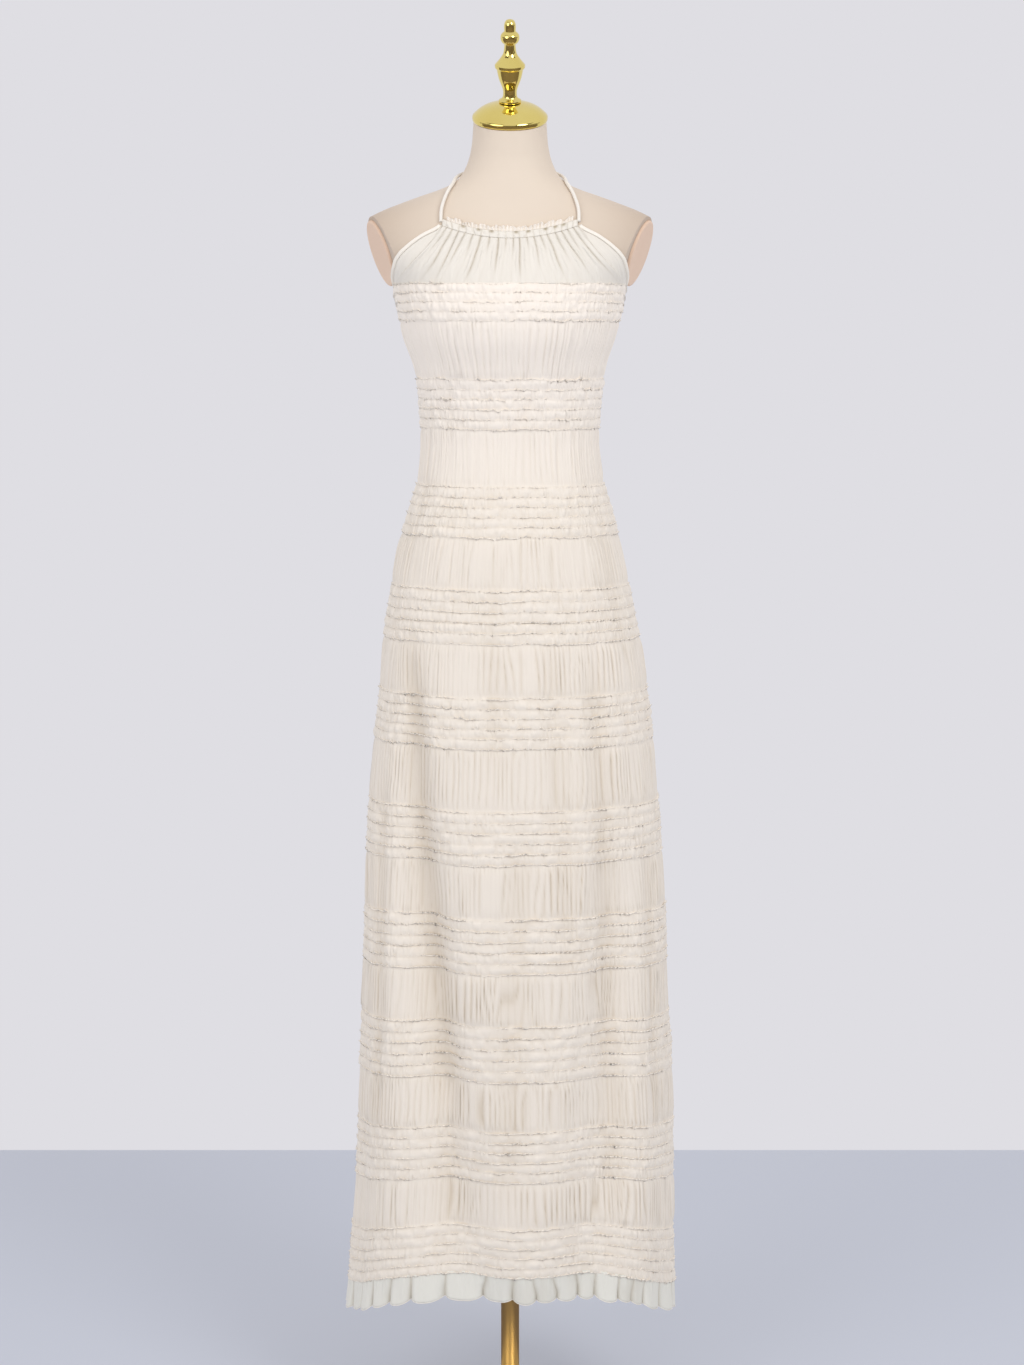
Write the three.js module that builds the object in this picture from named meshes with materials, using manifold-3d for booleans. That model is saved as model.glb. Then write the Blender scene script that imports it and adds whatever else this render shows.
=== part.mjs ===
// A halter dress, worn by a limbless dress form that stands on a pole and a round base.
// Units are millimetres, +Z is up and the front faces -Y. The origin is on the floor, at the centre of the base.
// The cloth is a thin wall: its outer face carries the gathers and the rows of narrow frills, its inner face is plain.
import * as THREE from 'three';
import { mergeVertices } from 'three/addons/utils/BufferGeometryUtils.js';
import Module from 'manifold-3d';

const wasm = await Module();
wasm.setup();

// Driving dimensions
const SEAM_GAP = 0.3;
const CLOTH = 1.8;
const THIN_CLOTH = 1.3;
const EASE = 1.8; // between the form and the pieces that lie on its chest and shoulders
const SECTION_POWER = 0.93; // 1 is an ellipse, and less is a fuller section
const COLUMNS = 14; // of one body panel, from side seam to side seam
const PANEL_TOP = 1559;
const PANEL_BOTTOM = 253;
const FRILL_HEIGHT = 4;
const FRILL_CREST = 0.62; // share of a row's pitch at which its frill stands out most
const GATHER_HEIGHT = 2.8;
const GATHER_INSET = 0.13; // share of a plain stretch over which its gathers rise
const UNDERARM_DROP = 13;
const UNDERARM_ANGLE = 90 - 180 / COLUMNS;
const HEM = 222;
const RUFFLE_WAVES = 12; // on each of the two hem ruffles
const RUFFLE_DEPTH = 9;
const YOKE_FOOT = PANEL_TOP + SEAM_GAP;
const NECKLINE_HALF = 85.5;
const NECKLINE_RISE = 16; // from the middle of the neckline to its ends
const YOKE_TOP = 1614.5;
const YOKE_GATHERS = 14;
const YOKE_LEVELS = [1, 0.88, 0.68, 0.48, 0.28, 0.1, 0]; // shares of its height
const CASING_HEIGHT = 8.5;
const CASING_GATHERS = 12;
const HEADING_HEIGHT = 6.5;
const HEADING_WAVES = 14;
const BINDING_WIDTH = 5;
const STRAP_RADIUS = 2.4;
const STRAP_EASE = 0.9;
const ARM_CENTRE = new THREE.Vector3(166, 0, 1599);
const ARM_FACING = new THREE.Vector3(1, -0.26, -0.35).normalize();
const ARM_PLATE = { halfHeight: 44, halfDepth: 48, thickness: 4 };
const NECK_TOP = new THREE.Vector3(0, -9, 1766);
const NECK_LEAN = THREE.MathUtils.degToRad(20);
const CAP_HEIGHT = 24;
const FORM_BOTTOM = 1012;
const POLE_RADIUS = 12.5;
const BASE_HEIGHT = 16;

const named = (columns, rows) =>
  rows.map((row) => Object.fromEntries(columns.split(' ').map((key, i) => [key, row[i]])));
const rising = (columns, rows) => named(columns, rows).sort((a, b) => a.z - b.z);

// The form's sections: half width, and reach to the front and the back of the pole's axis.
const FORM = rising('z half front back', [
  [1800, 46, 64, 28],
  [1743, 48.5, 54, 42],
  [1722, 52, 54, 48],
  [1702, 60, 57, 56],
  [1692, 68, 60, 61],
  [1682, 84, 63, 66],
  [1672, 113, 66, 71],
  [1662, 141, 69, 75],
  [1651, 169, 73, 78],
  [1641, 187, 77, 80],
  [1625, 200, 84, 84],
  [1612, 198, 90.5, 86],
  [1600, 192, 96, 88],
  [1587, 179, 102.3, 90.3],
  [1575, 166, 108, 92],
  [1567, 157.5, 111.5, 92.4],
  [1560, 151.5, 114, 92.4],
  [1546, 145.5, 118, 91],
  [1522, 141.5, 122.5, 88],
  [1490, 133, 117.5, 84.5],
  [1455, 121.5, 103, 79.5],
  [1420, 116.3, 91, 77],
  [1388, 114, 85, 75.5],
  [1357, 113.2, 82, 75],
  [1330, 115.3, 84.3, 78.5],
  [1300, 119.3, 89, 84],
  [1265, 130, 96, 93],
  [1212, 144.5, 105, 107],
  [1159, 154, 109, 114],
  [1119, 157, 109, 114],
  [1079, 156, 105, 110],
  [1045, 150, 97, 101],
  [1022, 138, 85, 88],
  [FORM_BOTTOM, 120, 70, 72],
]);

// The dress's inner face, in the same terms. Its left and its right side hang a little differently.
const DRESS = rising('z left right front back', [
  [1575, 167, 167, 109, 93],
  [1560, 152, 152, 115, 93],
  [1546, 147.5, 146.5, 119, 92],
  [1522, 143, 142.3, 123.3, 88.8],
  [1490, 135.5, 134.5, 118.4, 85.4],
  [1455, 123, 122.5, 103.8, 80.4],
  [1420, 117.2, 117.2, 91.8, 77.9],
  [1388, 114.8, 114.8, 85.8, 76.3],
  [1357, 114, 114, 82.8, 75.8],
  [1330, 116.1, 116.1, 85.1, 79.3],
  [1300, 120.3, 121.3, 89.8, 84.9],
  [1265, 131, 131.5, 97, 94],
  [1212, 145.5, 145.5, 106, 108],
  [1159, 155.3, 156.5, 110, 115],
  [1119, 162, 164.5, 113, 119],
  [1079, 167, 172.5, 116, 123],
  [1039, 169.5, 178, 119, 126],
  [958, 179, 188.5, 122.5, 130],
  [876, 186.5, 196, 125, 133.5],
  [794, 191, 202, 127, 136.5],
  [711, 194.5, 208, 128.5, 139],
  [627, 198, 211.5, 130, 141],
  [543, 203, 217, 131, 143],
  [459, 206.5, 221, 132, 144.5],
  [373, 210, 222, 133, 146],
  [309, 214.5, 222.5, 134, 147],
  [244, 219, 224, 135, 148],
  [130, 227, 228, 137, 150],
]);

// The bands of frilled rows, by their height at the centre front.
const BANDS = named('top bottom rows', [
  [1558, 1512, 4],
  [1437, 1374, 5],
  [1300, 1237, 5],
  [1169, 1101, 5],
  [1031, 966, 5],
  [883, 814, 5],
  [741, 669, 5],
  [598, 524, 5],
  [455, 387, 5],
  [322, 256, 5],
]);

// The skirt's soft folds: their place in degrees from the centre front, at two heights, and their size.
const FOLD_HEIGHTS = { upper: 1000, lower: 430 };
const FOLDS = named('upper lower width depth start full', [
  [-47, -22, 13, 25, 1080, 680],
  [47, 31, 14, 19, 990, 560],
  [-78, -74, 12, 8, 830, 400],
  [78, 70, 12, 7, 830, 400],
  [116, 112, 14, 15, 1010, 600],
  [152, 146, 14, 20, 1070, 640],
  [-110, -114, 14, 14, 1010, 600],
  [-146, -154, 14, 22, 1070, 640],
]);

// How much lower a level of the dress hangs at the side seams and at the centre back than at the centre front.
const HANG = rising('z side back', [
  [1600, 0, 0],
  [890, 0, 0],
  [740, 3, 3],
  [595, 8, 6],
  [455, 17, 12],
  [320, 37, 24],
  [222, 51, 33],
  [100, 51, 33],
]);

// The armhole edge, from the side seam up to the neckline: height, and degrees round from the centre front.
const ARMHOLE = rising('z angle', [
  [PANEL_TOP - UNDERARM_DROP, 90],
  [PANEL_TOP, UNDERARM_ANGLE],
  [1566, 69],
  [1575, 60],
  [1587, 51],
  [1600, 41.5],
  [1615, 32.5],
  [YOKE_TOP + NECKLINE_RISE, 24],
]);

// The route of the strap over the form, in the same terms, from the neckline to the nape.
const STRAP = named('z angle', [
  [1638.9, 25.6],
  [1650, 28.6],
  [1663, 35],
  [1676, 48],
  [1684, 62],
  [1690, 78],
  [1698, 102],
  [1704, 128],
  [1707, 155],
  [1708, 180],
]);

// Half profiles of the turned pieces: radius, and height above the piece's foot.
const CAP_PROFILE = named('r h', [
  [0, 0], [47, 0], [48.6, 2], [48.6, 6.5], [46, 9], [39, 15], [29, 20], [14, CAP_HEIGHT], [0, CAP_HEIGHT],
]);
const FINIAL_PROFILE = named('r h', [
  [0, 0], [14.5, 0], [14.5, 3], [9.6, 6], [8.8, 12], [9.6, 18], [14.6, 30], [17, 42], [19.4, 44], [19.4, 48],
  [13.6, 55], [8.5, 62], [7.2, 73], [11.2, 77.5], [12.1, 82], [11, 86.5], [6.6, 90], [7.4, 94], [7.4, 99],
  [5, 104], [0, 105],
]);
const BASE_PROFILE = named('r h', [
  [0, 0], [128, 0], [130, 2], [130, 7], [126, 10], [24, 12.5], [20, BASE_HEIGHT], [0, BASE_HEIGHT],
]);

// Finishes
const finish = (color, roughness, metalness) => new THREE.MeshStandardMaterial({ color, roughness, metalness });
const CHIFFON = finish(0xf1eae1, 0.85, 0);
const CHIFFON_TRIM = finish(0xf3eee2, 0.8, 0);
const FORM_COVER = finish(0xe9dccb, 0.9, 0);
const ARM_COVER = finish(0xe2cdb9, 0.9, 0);
const POLISHED_BRASS = finish(0xc8a338, 0.14, 1);
const SATIN_BRASS = finish(0xa07838, 0.35, 1);

const { clamp, degToRad, lerp, mapLinear, radToDeg, smoothstep } = THREE.MathUtils;
const SIDE = Math.PI / 2;

// A table's columns at a height, on a smooth curve that doesn't overshoot its rows.
function at(rows, z) {
  const last = rows.length - 1;
  const k = clamp(rows.findLastIndex((row) => row.z <= z), 0, last - 1);
  const span = rows[k + 1].z - rows[k].z;
  const t = clamp((z - rows[k].z) / span, 0, 1);
  const rate = (key, j) => (rows[j + 1][key] - rows[j][key]) / (rows[j + 1].z - rows[j].z);
  const slope = (key, j) => {
    if (j === 0 || j === last) return 0;
    const [below, above] = [rate(key, j - 1), rate(key, j)];
    return below * above > 0 ? (2 * below * above) / (below + above) : 0;
  };
  const along = (key) =>
    (2 * t ** 3 - 3 * t ** 2 + 1) * rows[k][key] + (3 * t ** 2 - 2 * t ** 3) * rows[k + 1][key] +
    ((t ** 3 - 2 * t ** 2 + t) * slope(key, k) + (t ** 3 - t ** 2) * slope(key, k + 1)) * span;
  return Object.fromEntries(Object.keys(rows[k]).map((key) => [key, along(key)]));
}

// A point of a section, or beside it, at an angle from the centre front towards +X.
function onSection({ left, right, front, back }, angle, z, out) {
  const fuller = (value) => Math.sign(value) * Math.abs(value) ** SECTION_POWER;
  const place = (turn) => {
    const [across, ahead] = [fuller(Math.sin(turn)), fuller(Math.cos(turn))];
    return new THREE.Vector3(across * (across < 0 ? left : right), -ahead * (ahead > 0 ? front : back), z);
  };
  const along = place(angle + 0.02).sub(place(angle - 0.02)).normalize();
  return place(angle).addScaledVector(new THREE.Vector3(along.y, -along.x, 0), out);
}

function formPoint(angle, z, out = 0) {
  const { half, front, back } = at(FORM, z);
  return onSection({ left: half, right: half, front, back }, angle, z, out);
}

// The direction square to the form's surface.
function formFacing(angle, z) {
  const along = formPoint(angle + 0.02, z).sub(formPoint(angle - 0.02, z));
  return along.cross(formPoint(angle, z + 0.5).sub(formPoint(angle, z - 0.5))).normalize();
}

// A point over the form's chest, at a distance across from the centre front.
function chestPoint(across, z, out) {
  const share = clamp(Math.abs(across) / at(FORM, z).half, 0, 1) ** (1 / SECTION_POWER);
  return formPoint(Math.sign(across) * Math.asin(share), z, out);
}

function hangAt(angle, level) {
  const { side, back } = at(HANG, level);
  const round = Math.acos(Math.cos(angle));
  const toSide = smoothstep(round, 0.25 * SIDE, SIDE);
  const toBack = smoothstep(round, SIDE, Math.PI);
  const underarm = smoothstep(level, BANDS[0].bottom, PANEL_TOP) * smoothstep(round, degToRad(UNDERARM_ANGLE), SIDE);
  return lerp(side * toSide, back, toBack) + UNDERARM_DROP * underarm;
}

function foldDepth(angle, z) {
  const depths = FOLDS.map(({ upper, lower, width, depth, start, full }) => {
    const centre = mapLinear(z, FOLD_HEIGHTS.upper, FOLD_HEIGHTS.lower, upper, lower);
    const away = ((radToDeg(angle) - centre + 540) % 360) - 180;
    return depth * (1 - smoothstep(z, full, start)) * Math.exp(-((away / width) ** 2));
  });
  return depths.reduce((sum, depth) => sum + depth);
}

// A point of the dress. Level is its height at the centre front, and out its distance from the inner face.
function dressPoint(angle, level, out) {
  const z = level - hangAt(angle, level);
  return onSection(at(DRESS, z), angle, z, out - foldDepth(angle, z));
}

// A mesh of lines of points. A line knows its level, and each of its points its place along it.
class Weave {
  points = [];
  faces = [];

  line(points, places, level) {
    const first = this.points.length;
    this.points.push(...points);
    return { level, stops: points.map((_, i) => ({ index: first + i, place: places[i] })) };
  }

  // Fills the stretch between the stops of an upper line and those of a lower one.
  zip(upper, lower) {
    let [i, j] = [0, 0];
    while (i < upper.length - 1 || j < lower.length - 1) {
      const onUpper = i < upper.length - 1 && (j === lower.length - 1 || upper[i + 1].place < lower[j + 1].place);
      if (onUpper) this.faces.push(upper[i].index, lower[j].index, upper[++i].index);
      else this.faces.push(lower[j].index, lower[++j].index, upper[i].index);
    }
  }

  // Joins an outer and an inner skin, each a list of lines from the top down, along their four edges.
  close(outer, inner) {
    const edge = (skin, end) => skin.map(({ level, stops }) => ({ index: stops.at(end).index, place: -level }));
    outer.slice(1).forEach((line, k) => this.zip(outer[k].stops, line.stops));
    inner.slice(1).forEach((line, k) => this.zip(line.stops, inner[k].stops));
    this.zip(inner[0].stops, outer[0].stops);
    this.zip(outer.at(-1).stops, inner.at(-1).stops);
    this.zip(edge(outer, 0), edge(inner, 0));
    this.zip(edge(inner, -1), edge(outer, -1));
  }

  geometry() {
    return new THREE.BufferGeometry().setFromPoints(this.points).setIndex(this.faces);
  }
}

const shares = (count) => Array.from({ length: count + 1 }, (_, i) => i / count);

// A cloth wall. Each level of a skin has its places, and the outer skin's may rise from the cloth.
function clothGeometry({ point, outer, inner, thickness }) {
  const weave = new Weave();
  const skin = (levels, base) =>
    levels.map(({ level, places, rise = () => 0 }) =>
      weave.line(places.map((place, i) => point(place, level, base + rise(i))), places, level));
  weave.close(skin(outer, thickness), skin(inner, 0));
  return weave.geometry();
}

// One body panel, with its frilled bands and the gathered stretches between them.
function bodyPanel(centre) {
  const coarse = shares(COLUMNS);
  const fine = shares(2 * COLUMNS);
  const plain = (level) => ({ level, places: coarse });
  const frill = (level) => ({ level, places: coarse, rise: () => FRILL_HEIGHT });
  const uneven = (i) => 1 - 0.25 * Math.sin(2.4 * i) ** 2;
  const gathered = (level) => ({ level, places: fine, rise: (i) => (i % 2) * GATHER_HEIGHT * uneven(i) });
  const outer = [plain(PANEL_TOP)];
  BANDS.forEach(({ top, bottom, rows }, n) => {
    const pitch = (top - bottom) / rows;
    for (let row = 0; row < rows; row++) {
      if (n + row > 0) outer.push(plain(top - row * pitch));
      outer.push(frill(top - (row + FRILL_CREST) * pitch));
    }
    outer.push(plain(bottom));
    if (n + 1 < BANDS.length) {
      const inset = (bottom - BANDS[n + 1].top) * GATHER_INSET;
      outer.push(gathered(bottom - inset), gathered(BANDS[n + 1].top + inset));
    }
  });
  outer.push(plain(PANEL_BOTTOM));
  const bodice = FORM.map(({ z }) => z).filter((z) => z > 1060 && z < 1530);
  const skirt = shares(12).slice(1).map((share) => lerp(1079, PANEL_BOTTOM, share));
  return clothGeometry({
    point: (place, level, out) => dressPoint(centre + (place * 2 - 1) * SIDE, level, out),
    outer,
    inner: [PANEL_TOP, ...bodice.reverse(), ...skirt].map(plain),
    thickness: CLOTH,
  });
}

// Half of the ruffle below the last band, waved more and more towards the hem.
function hemRuffle(centre) {
  const top = PANEL_BOTTOM - 1.4 * SEAM_GAP;
  const waved = [lerp(top, HEM, 0.45), HEM].map((level) => ({ level, places: shares(RUFFLE_WAVES * 4) }));
  const levels = [{ level: top, places: shares(COLUMNS) }, ...waved];
  const wave = (place, level) =>
    RUFFLE_DEPTH * 0.5 * mapLinear(level, top, HEM, 0, 1) * Math.sin(place * RUFFLE_WAVES * 2 * Math.PI);
  return clothGeometry({
    point: (place, level, out) => dressPoint(centre + (place * 2 - 1) * SIDE, level, out + wave(place, level)),
    outer: levels,
    inner: levels,
    thickness: CLOTH,
  });
}

// The yoke's right edge, at a share of the way up from the first band to the neckline.
function yokeEdge(level) {
  const z = lerp(YOKE_FOOT, YOKE_TOP + NECKLINE_RISE, level);
  return { z, angle: degToRad(at(ARMHOLE, z).angle) };
}

// The gathered panel between the first band and the neckline.
function yoke() {
  const coarse = shares(YOKE_GATHERS);
  const fine = shares(2 * YOKE_GATHERS);
  const plain = (level) => ({ level, places: coarse });
  const edge = (i) => i === 0 || i === 2 * YOKE_GATHERS;
  const gathered = (level) => ({ level, places: fine, rise: (i) => (edge(i) ? 0 : (i % 2) * GATHER_HEIGHT) });
  return clothGeometry({
    point: (place, level, out) => {
      const turn = place * 2 - 1;
      const { z, angle } = yokeEdge(level);
      const height = lerp(YOKE_FOOT, YOKE_TOP + NECKLINE_RISE * turn ** 2, level);
      return chestPoint(turn * formPoint(angle, z).x, height, EASE + out);
    },
    outer: YOKE_LEVELS.map((level) => (level % 1 ? gathered(level) : plain(level))),
    inner: YOKE_LEVELS.map((level) => ({ level, places: fine })),
    thickness: CLOTH,
  });
}

// A point of the strip that runs along the neckline, above the yoke.
function necklinePoint(half, foot, height) {
  return (place, level, out) => {
    const turn = (place * 2 - 1) * (half / NECKLINE_HALF);
    const z = YOKE_TOP + foot + NECKLINE_RISE * turn ** 2 + level * height;
    return chestPoint(turn * NECKLINE_HALF, z, EASE + out);
  };
}

// The drawn-up casing that the strap is sewn into.
function casing() {
  const places = shares(2 * CASING_GATHERS);
  const plain = (level) => ({ level, places: shares(CASING_GATHERS) });
  return clothGeometry({
    point: necklinePoint(NECKLINE_HALF, SEAM_GAP, CASING_HEIGHT),
    outer: [plain(1), { level: 0.5, places, rise: (i) => 0.6 + 1.4 * (i % 2) }, plain(0)],
    inner: [plain(1), plain(0)],
    thickness: CLOTH,
  });
}

// The small frilled heading above the casing.
function heading() {
  const places = shares(HEADING_WAVES * 3);
  const levels = [1, 0].map((level) => ({ level, places }));
  const point = necklinePoint(NECKLINE_HALF - 7, CASING_HEIGHT + 2 * SEAM_GAP, HEADING_HEIGHT);
  const wave = (place) => 2 * (1 + Math.sin(place * HEADING_WAVES * 2 * Math.PI));
  return clothGeometry({
    point: (place, level, out) => point(place, level, out + level * wave(place)),
    outer: levels,
    inner: levels,
    thickness: THIN_CLOTH,
  });
}

// One strip that binds both armholes and the top of the back.
function binding() {
  const down = YOKE_LEVELS.map(yokeEdge);
  const back = shares(COLUMNS).map((share) => ({ z: ARMHOLE[0].z, angle: SIDE + share * Math.PI }));
  const up = down.toReversed().map(({ z, angle }) => ({ z, angle: 2 * Math.PI - angle }));
  const route = [...down, ...back, ...up];
  const places = shares(route.length - 1);
  const levels = [1, 0].map((level) => ({ level, places }));
  return clothGeometry({
    point: (place, level, out) => {
      const i = Math.round(place * (route.length - 1));
      const [before, here, after] = [i - 1, i, i + 1].map((k) => route[clamp(k, 0, route.length - 1)]);
      const along = formPoint(after.angle, after.z).sub(formPoint(before.angle, before.z));
      const beside = formFacing(here.angle, here.z).cross(along).normalize();
      const spot = formPoint(here.angle, here.z, EASE + out);
      return spot.addScaledVector(beside, 1.6 * SEAM_GAP + level * BINDING_WIDTH);
    },
    outer: levels,
    inner: levels,
    thickness: CLOTH,
  });
}

// The halter strap, from one end of the casing round the nape to the other.
function strap() {
  const half = STRAP.map(({ z, angle }) => {
    const turn = degToRad(angle);
    return formPoint(turn, z).addScaledVector(formFacing(turn, z), STRAP_EASE + STRAP_RADIUS);
  });
  const mirrored = half.slice(0, -1).reverse().map(({ x, y, z }) => new THREE.Vector3(-x, y, z));
  const section = new THREE.Shape().absellipse(0, 0, STRAP_RADIUS, STRAP_RADIUS, 0, 2 * Math.PI);
  const extrudePath = new THREE.CatmullRomCurve3([...half, ...mirrored], false, 'centripetal');
  return new THREE.ExtrudeGeometry(section, { steps: 44, curveSegments: 4, extrudePath });
}

// The form's torso, lofted through its sections and then cut flat at the neck and at both arms.
function torso() {
  const turns = shares(2 * COLUMNS).slice(0, -1).map((share) => share * 2 * Math.PI);
  const weave = new Weave();
  const rings = FORM.map(({ z }) => {
    const ring = weave.line(turns.map((turn) => formPoint(turn, z)), turns, z).stops;
    return [...ring, { index: ring[0].index, place: 2 * Math.PI }];
  });
  const pole = (z) => weave.line([new THREE.Vector3(0, 0, z)], [0], z).stops;
  rings.slice(1).forEach((ring, k) => weave.zip(ring, rings[k]));
  weave.zip(pole(FORM.at(-1).z), rings.at(-1));
  weave.zip(rings[0], pole(FORM[0].z));
  return cutFlat(weave.geometry(), [
    [NECK_TOP, new THREE.Vector3(0, -Math.sin(NECK_LEAN), Math.cos(NECK_LEAN))],
    ...[1, -1].map((side) => [mirror(ARM_CENTRE, side), mirror(ARM_FACING, side)]),
  ]);
}

const mirror = ({ x, y, z }, side) => new THREE.Vector3(x * side, y, z);

function asSolid(geometry) {
  const bare = geometry.clone().deleteAttribute('normal').deleteAttribute('uv');
  const merged = mergeVertices(bare);
  const vertProperties = merged.attributes.position.array;
  return new wasm.Manifold(new wasm.Mesh({ numProp: 3, vertProperties, triVerts: merged.index.array }));
}

// Takes away what lies beyond each of the given planes, which have a point and a direction.
function cutFlat(geometry, planes) {
  const reach = 400;
  const cut = planes.reduce((solid, [point, facing]) => {
    const block = new THREE.BoxGeometry(reach, reach, reach).translate(0, 0, reach / 2);
    block.applyQuaternion(new THREE.Quaternion().setFromUnitVectors(new THREE.Vector3(0, 0, 1), facing));
    return solid.subtract(asSolid(block.translate(point.x, point.y, point.z)));
  }, asSolid(geometry));
  const { vertProperties, triVerts } = cut.getMesh();
  const made = new THREE.BufferGeometry();
  made.setAttribute('position', new THREE.BufferAttribute(vertProperties, 3));
  return made.setIndex(new THREE.BufferAttribute(triVerts, 1));
}

// A plate that closes an arm, lying on the torso's cut face.
function armPlate(side) {
  const facing = mirror(ARM_FACING, side);
  const up = new THREE.Vector3(0, 0, 1).projectOnPlane(facing).normalize();
  const { halfDepth, halfHeight, thickness } = ARM_PLATE;
  const outline = new THREE.Shape().absellipse(0, 0, halfDepth, halfHeight, 0, 2 * Math.PI);
  const plate = new THREE.ExtrudeGeometry(outline, { depth: thickness, bevelEnabled: false, curveSegments: 14 });
  plate.applyMatrix4(new THREE.Matrix4().makeBasis(up.clone().cross(facing), up, facing));
  const seat = mirror(ARM_CENTRE, side).addScaledVector(facing, SEAM_GAP);
  return plate.translate(seat.x, seat.y, seat.z);
}

const turned = (profile, segments) =>
  new THREE.LatheGeometry(profile.map(({ r, h }) => new THREE.Vector2(r, h)), segments).rotateX(SIDE);

const group = new THREE.Group();

function add(name, geometry, material, parent = group) {
  const mesh = new THREE.Mesh(geometry, material);
  mesh.name = name;
  parent.add(mesh);
  return mesh;
}

// Stand
const poleFoot = BASE_HEIGHT + SEAM_GAP;
const poleLength = FORM_BOTTOM - SEAM_GAP - poleFoot;
add('base_plate', turned(BASE_PROFILE, 32), SATIN_BRASS);
const pole = add('pole', new THREE.CylinderGeometry(POLE_RADIUS, POLE_RADIUS, poleLength, 20), SATIN_BRASS);
pole.rotation.x = SIDE;
pole.position.z = poleFoot + poleLength / 2;

// Dress form
add('torso_form', torso(), FORM_COVER);
add('arm_plate_left', armPlate(-1), ARM_COVER);
add('arm_plate_right', armPlate(1), ARM_COVER);
const neck = new THREE.Group();
neck.position.copy(NECK_TOP);
neck.rotation.x = NECK_LEAN;
group.add(neck);
add('neck_cap', turned(CAP_PROFILE, 28), POLISHED_BRASS, neck).position.z = SEAM_GAP;
add('finial', turned(FINIAL_PROFILE, 16), POLISHED_BRASS, neck).position.z = CAP_HEIGHT + 2 * SEAM_GAP;

// Dress
add('front_body', bodyPanel(0), CHIFFON).position.y = -SEAM_GAP / 2;
add('back_body', bodyPanel(Math.PI), CHIFFON).position.y = SEAM_GAP / 2;
add('hem_ruffle_front', hemRuffle(0), CHIFFON).position.y = -SEAM_GAP / 2;
add('hem_ruffle_back', hemRuffle(Math.PI), CHIFFON).position.y = SEAM_GAP / 2;
add('front_yoke', yoke(), CHIFFON);
add('neck_casing', casing(), CHIFFON);
add('neck_frill', heading(), CHIFFON_TRIM);
add('edge_binding', binding(), CHIFFON_TRIM);
add('halter_strap', strap(), CHIFFON_TRIM);

export default group;
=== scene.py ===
import math

import bmesh
import bpy
import numpy as np
from mathutils import Matrix, Vector


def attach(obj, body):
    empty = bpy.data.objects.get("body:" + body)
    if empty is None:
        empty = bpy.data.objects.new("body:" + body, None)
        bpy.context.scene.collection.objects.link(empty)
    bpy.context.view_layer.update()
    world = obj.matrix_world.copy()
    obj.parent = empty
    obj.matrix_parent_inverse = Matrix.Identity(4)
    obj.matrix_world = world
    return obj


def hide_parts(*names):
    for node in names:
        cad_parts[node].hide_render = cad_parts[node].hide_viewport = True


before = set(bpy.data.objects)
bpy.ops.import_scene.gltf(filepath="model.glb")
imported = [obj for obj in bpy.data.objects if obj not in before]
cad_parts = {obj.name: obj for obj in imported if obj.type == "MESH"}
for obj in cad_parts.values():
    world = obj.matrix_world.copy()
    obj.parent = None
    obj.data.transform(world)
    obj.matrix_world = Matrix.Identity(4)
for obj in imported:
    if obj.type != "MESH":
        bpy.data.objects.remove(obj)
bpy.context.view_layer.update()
mm = 0.001
side = math.pi / 2
centres = {"front": 0.0, "back": math.pi}  # where the panels' middles lie round the form
print("stage: frame loaded,", len(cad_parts), "nodes")


# Sections of the form and of the dress, in mm: height, then half widths and reach to front and back
formSections = {
    "z": (1800, 1743, 1722, 1702, 1692, 1682, 1672, 1662, 1651, 1641, 1625, 1612, 1600, 1587, 1575,
          1567, 1560, 1546, 1522, 1490, 1455, 1420, 1388, 1357, 1330, 1300, 1265, 1212, 1159, 1119,
          1079, 1045, 1022, 1012),
    "half": (46, 48.5, 52, 60, 68, 84, 113, 141, 169, 187, 200, 198, 192, 179, 166, 157.5, 151.5,
             145.5, 141.5, 133, 121.5, 116.3, 114, 113.2, 115.3, 119.3, 130, 144.5, 154, 157, 156,
             150, 138, 120),
    "front": (64, 54, 54, 57, 60, 63, 66, 69, 73, 77, 84, 90.5, 96, 102.3, 108, 111.5, 114, 118,
              122.5, 117.5, 103, 91, 85, 82, 84.3, 89, 96, 105, 109, 109, 105, 97, 85, 70),
    "back": (28, 42, 48, 56, 61, 66, 71, 75, 78, 80, 84, 86, 88, 90.3, 92, 92.4, 92.4, 91, 88,
             84.5, 79.5, 77, 75.5, 75, 78.5, 84, 93, 107, 114, 114, 110, 101, 88, 72),
}
dressSections = {
    "z": (1575, 1560, 1546, 1522, 1490, 1455, 1420, 1388, 1357, 1330, 1300, 1265, 1212, 1159, 1119,
          1079, 1039, 958, 876, 794, 711, 627, 543, 459, 373, 309, 244, 130),
    "left": (167, 152, 147.5, 143, 135.5, 123, 117.2, 114.8, 114, 116.1, 120.3, 131, 145.5, 155.3,
             162, 167, 169.5, 179, 186.5, 191, 194.5, 198, 203, 206.5, 210, 214.5, 219, 227),
    "right": (167, 152, 146.5, 142.3, 134.5, 122.5, 117.2, 114.8, 114, 116.1, 121.3, 131.5, 145.5,
              156.5, 164.5, 172.5, 178, 188.5, 196, 202, 208, 211.5, 217, 221, 222, 222.5, 224, 228),
    "front": (109, 115, 119, 123.3, 118.4, 103.8, 91.8, 85.8, 82.8, 85.1, 89.8, 97, 106, 110, 113,
              116, 119, 122.5, 125, 127, 128.5, 130, 131, 132, 133, 134, 135, 137),
    "back": (93, 93, 92, 88.8, 85.4, 80.4, 77.9, 76.3, 75.8, 79.3, 84.9, 94, 108, 115, 119, 123,
             126, 130, 133.5, 136.5, 139, 141, 143, 144.5, 146, 147, 148, 150),
}
# How much lower a level of the dress hangs at its sides and at the centre back
hangRows = {"z": (1600, 890, 740, 595, 455, 320, 222, 100), "side": (0, 0, 3, 8, 17, 37, 51, 51),
            "back": (0, 0, 3, 6, 12, 24, 33, 33)}
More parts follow.
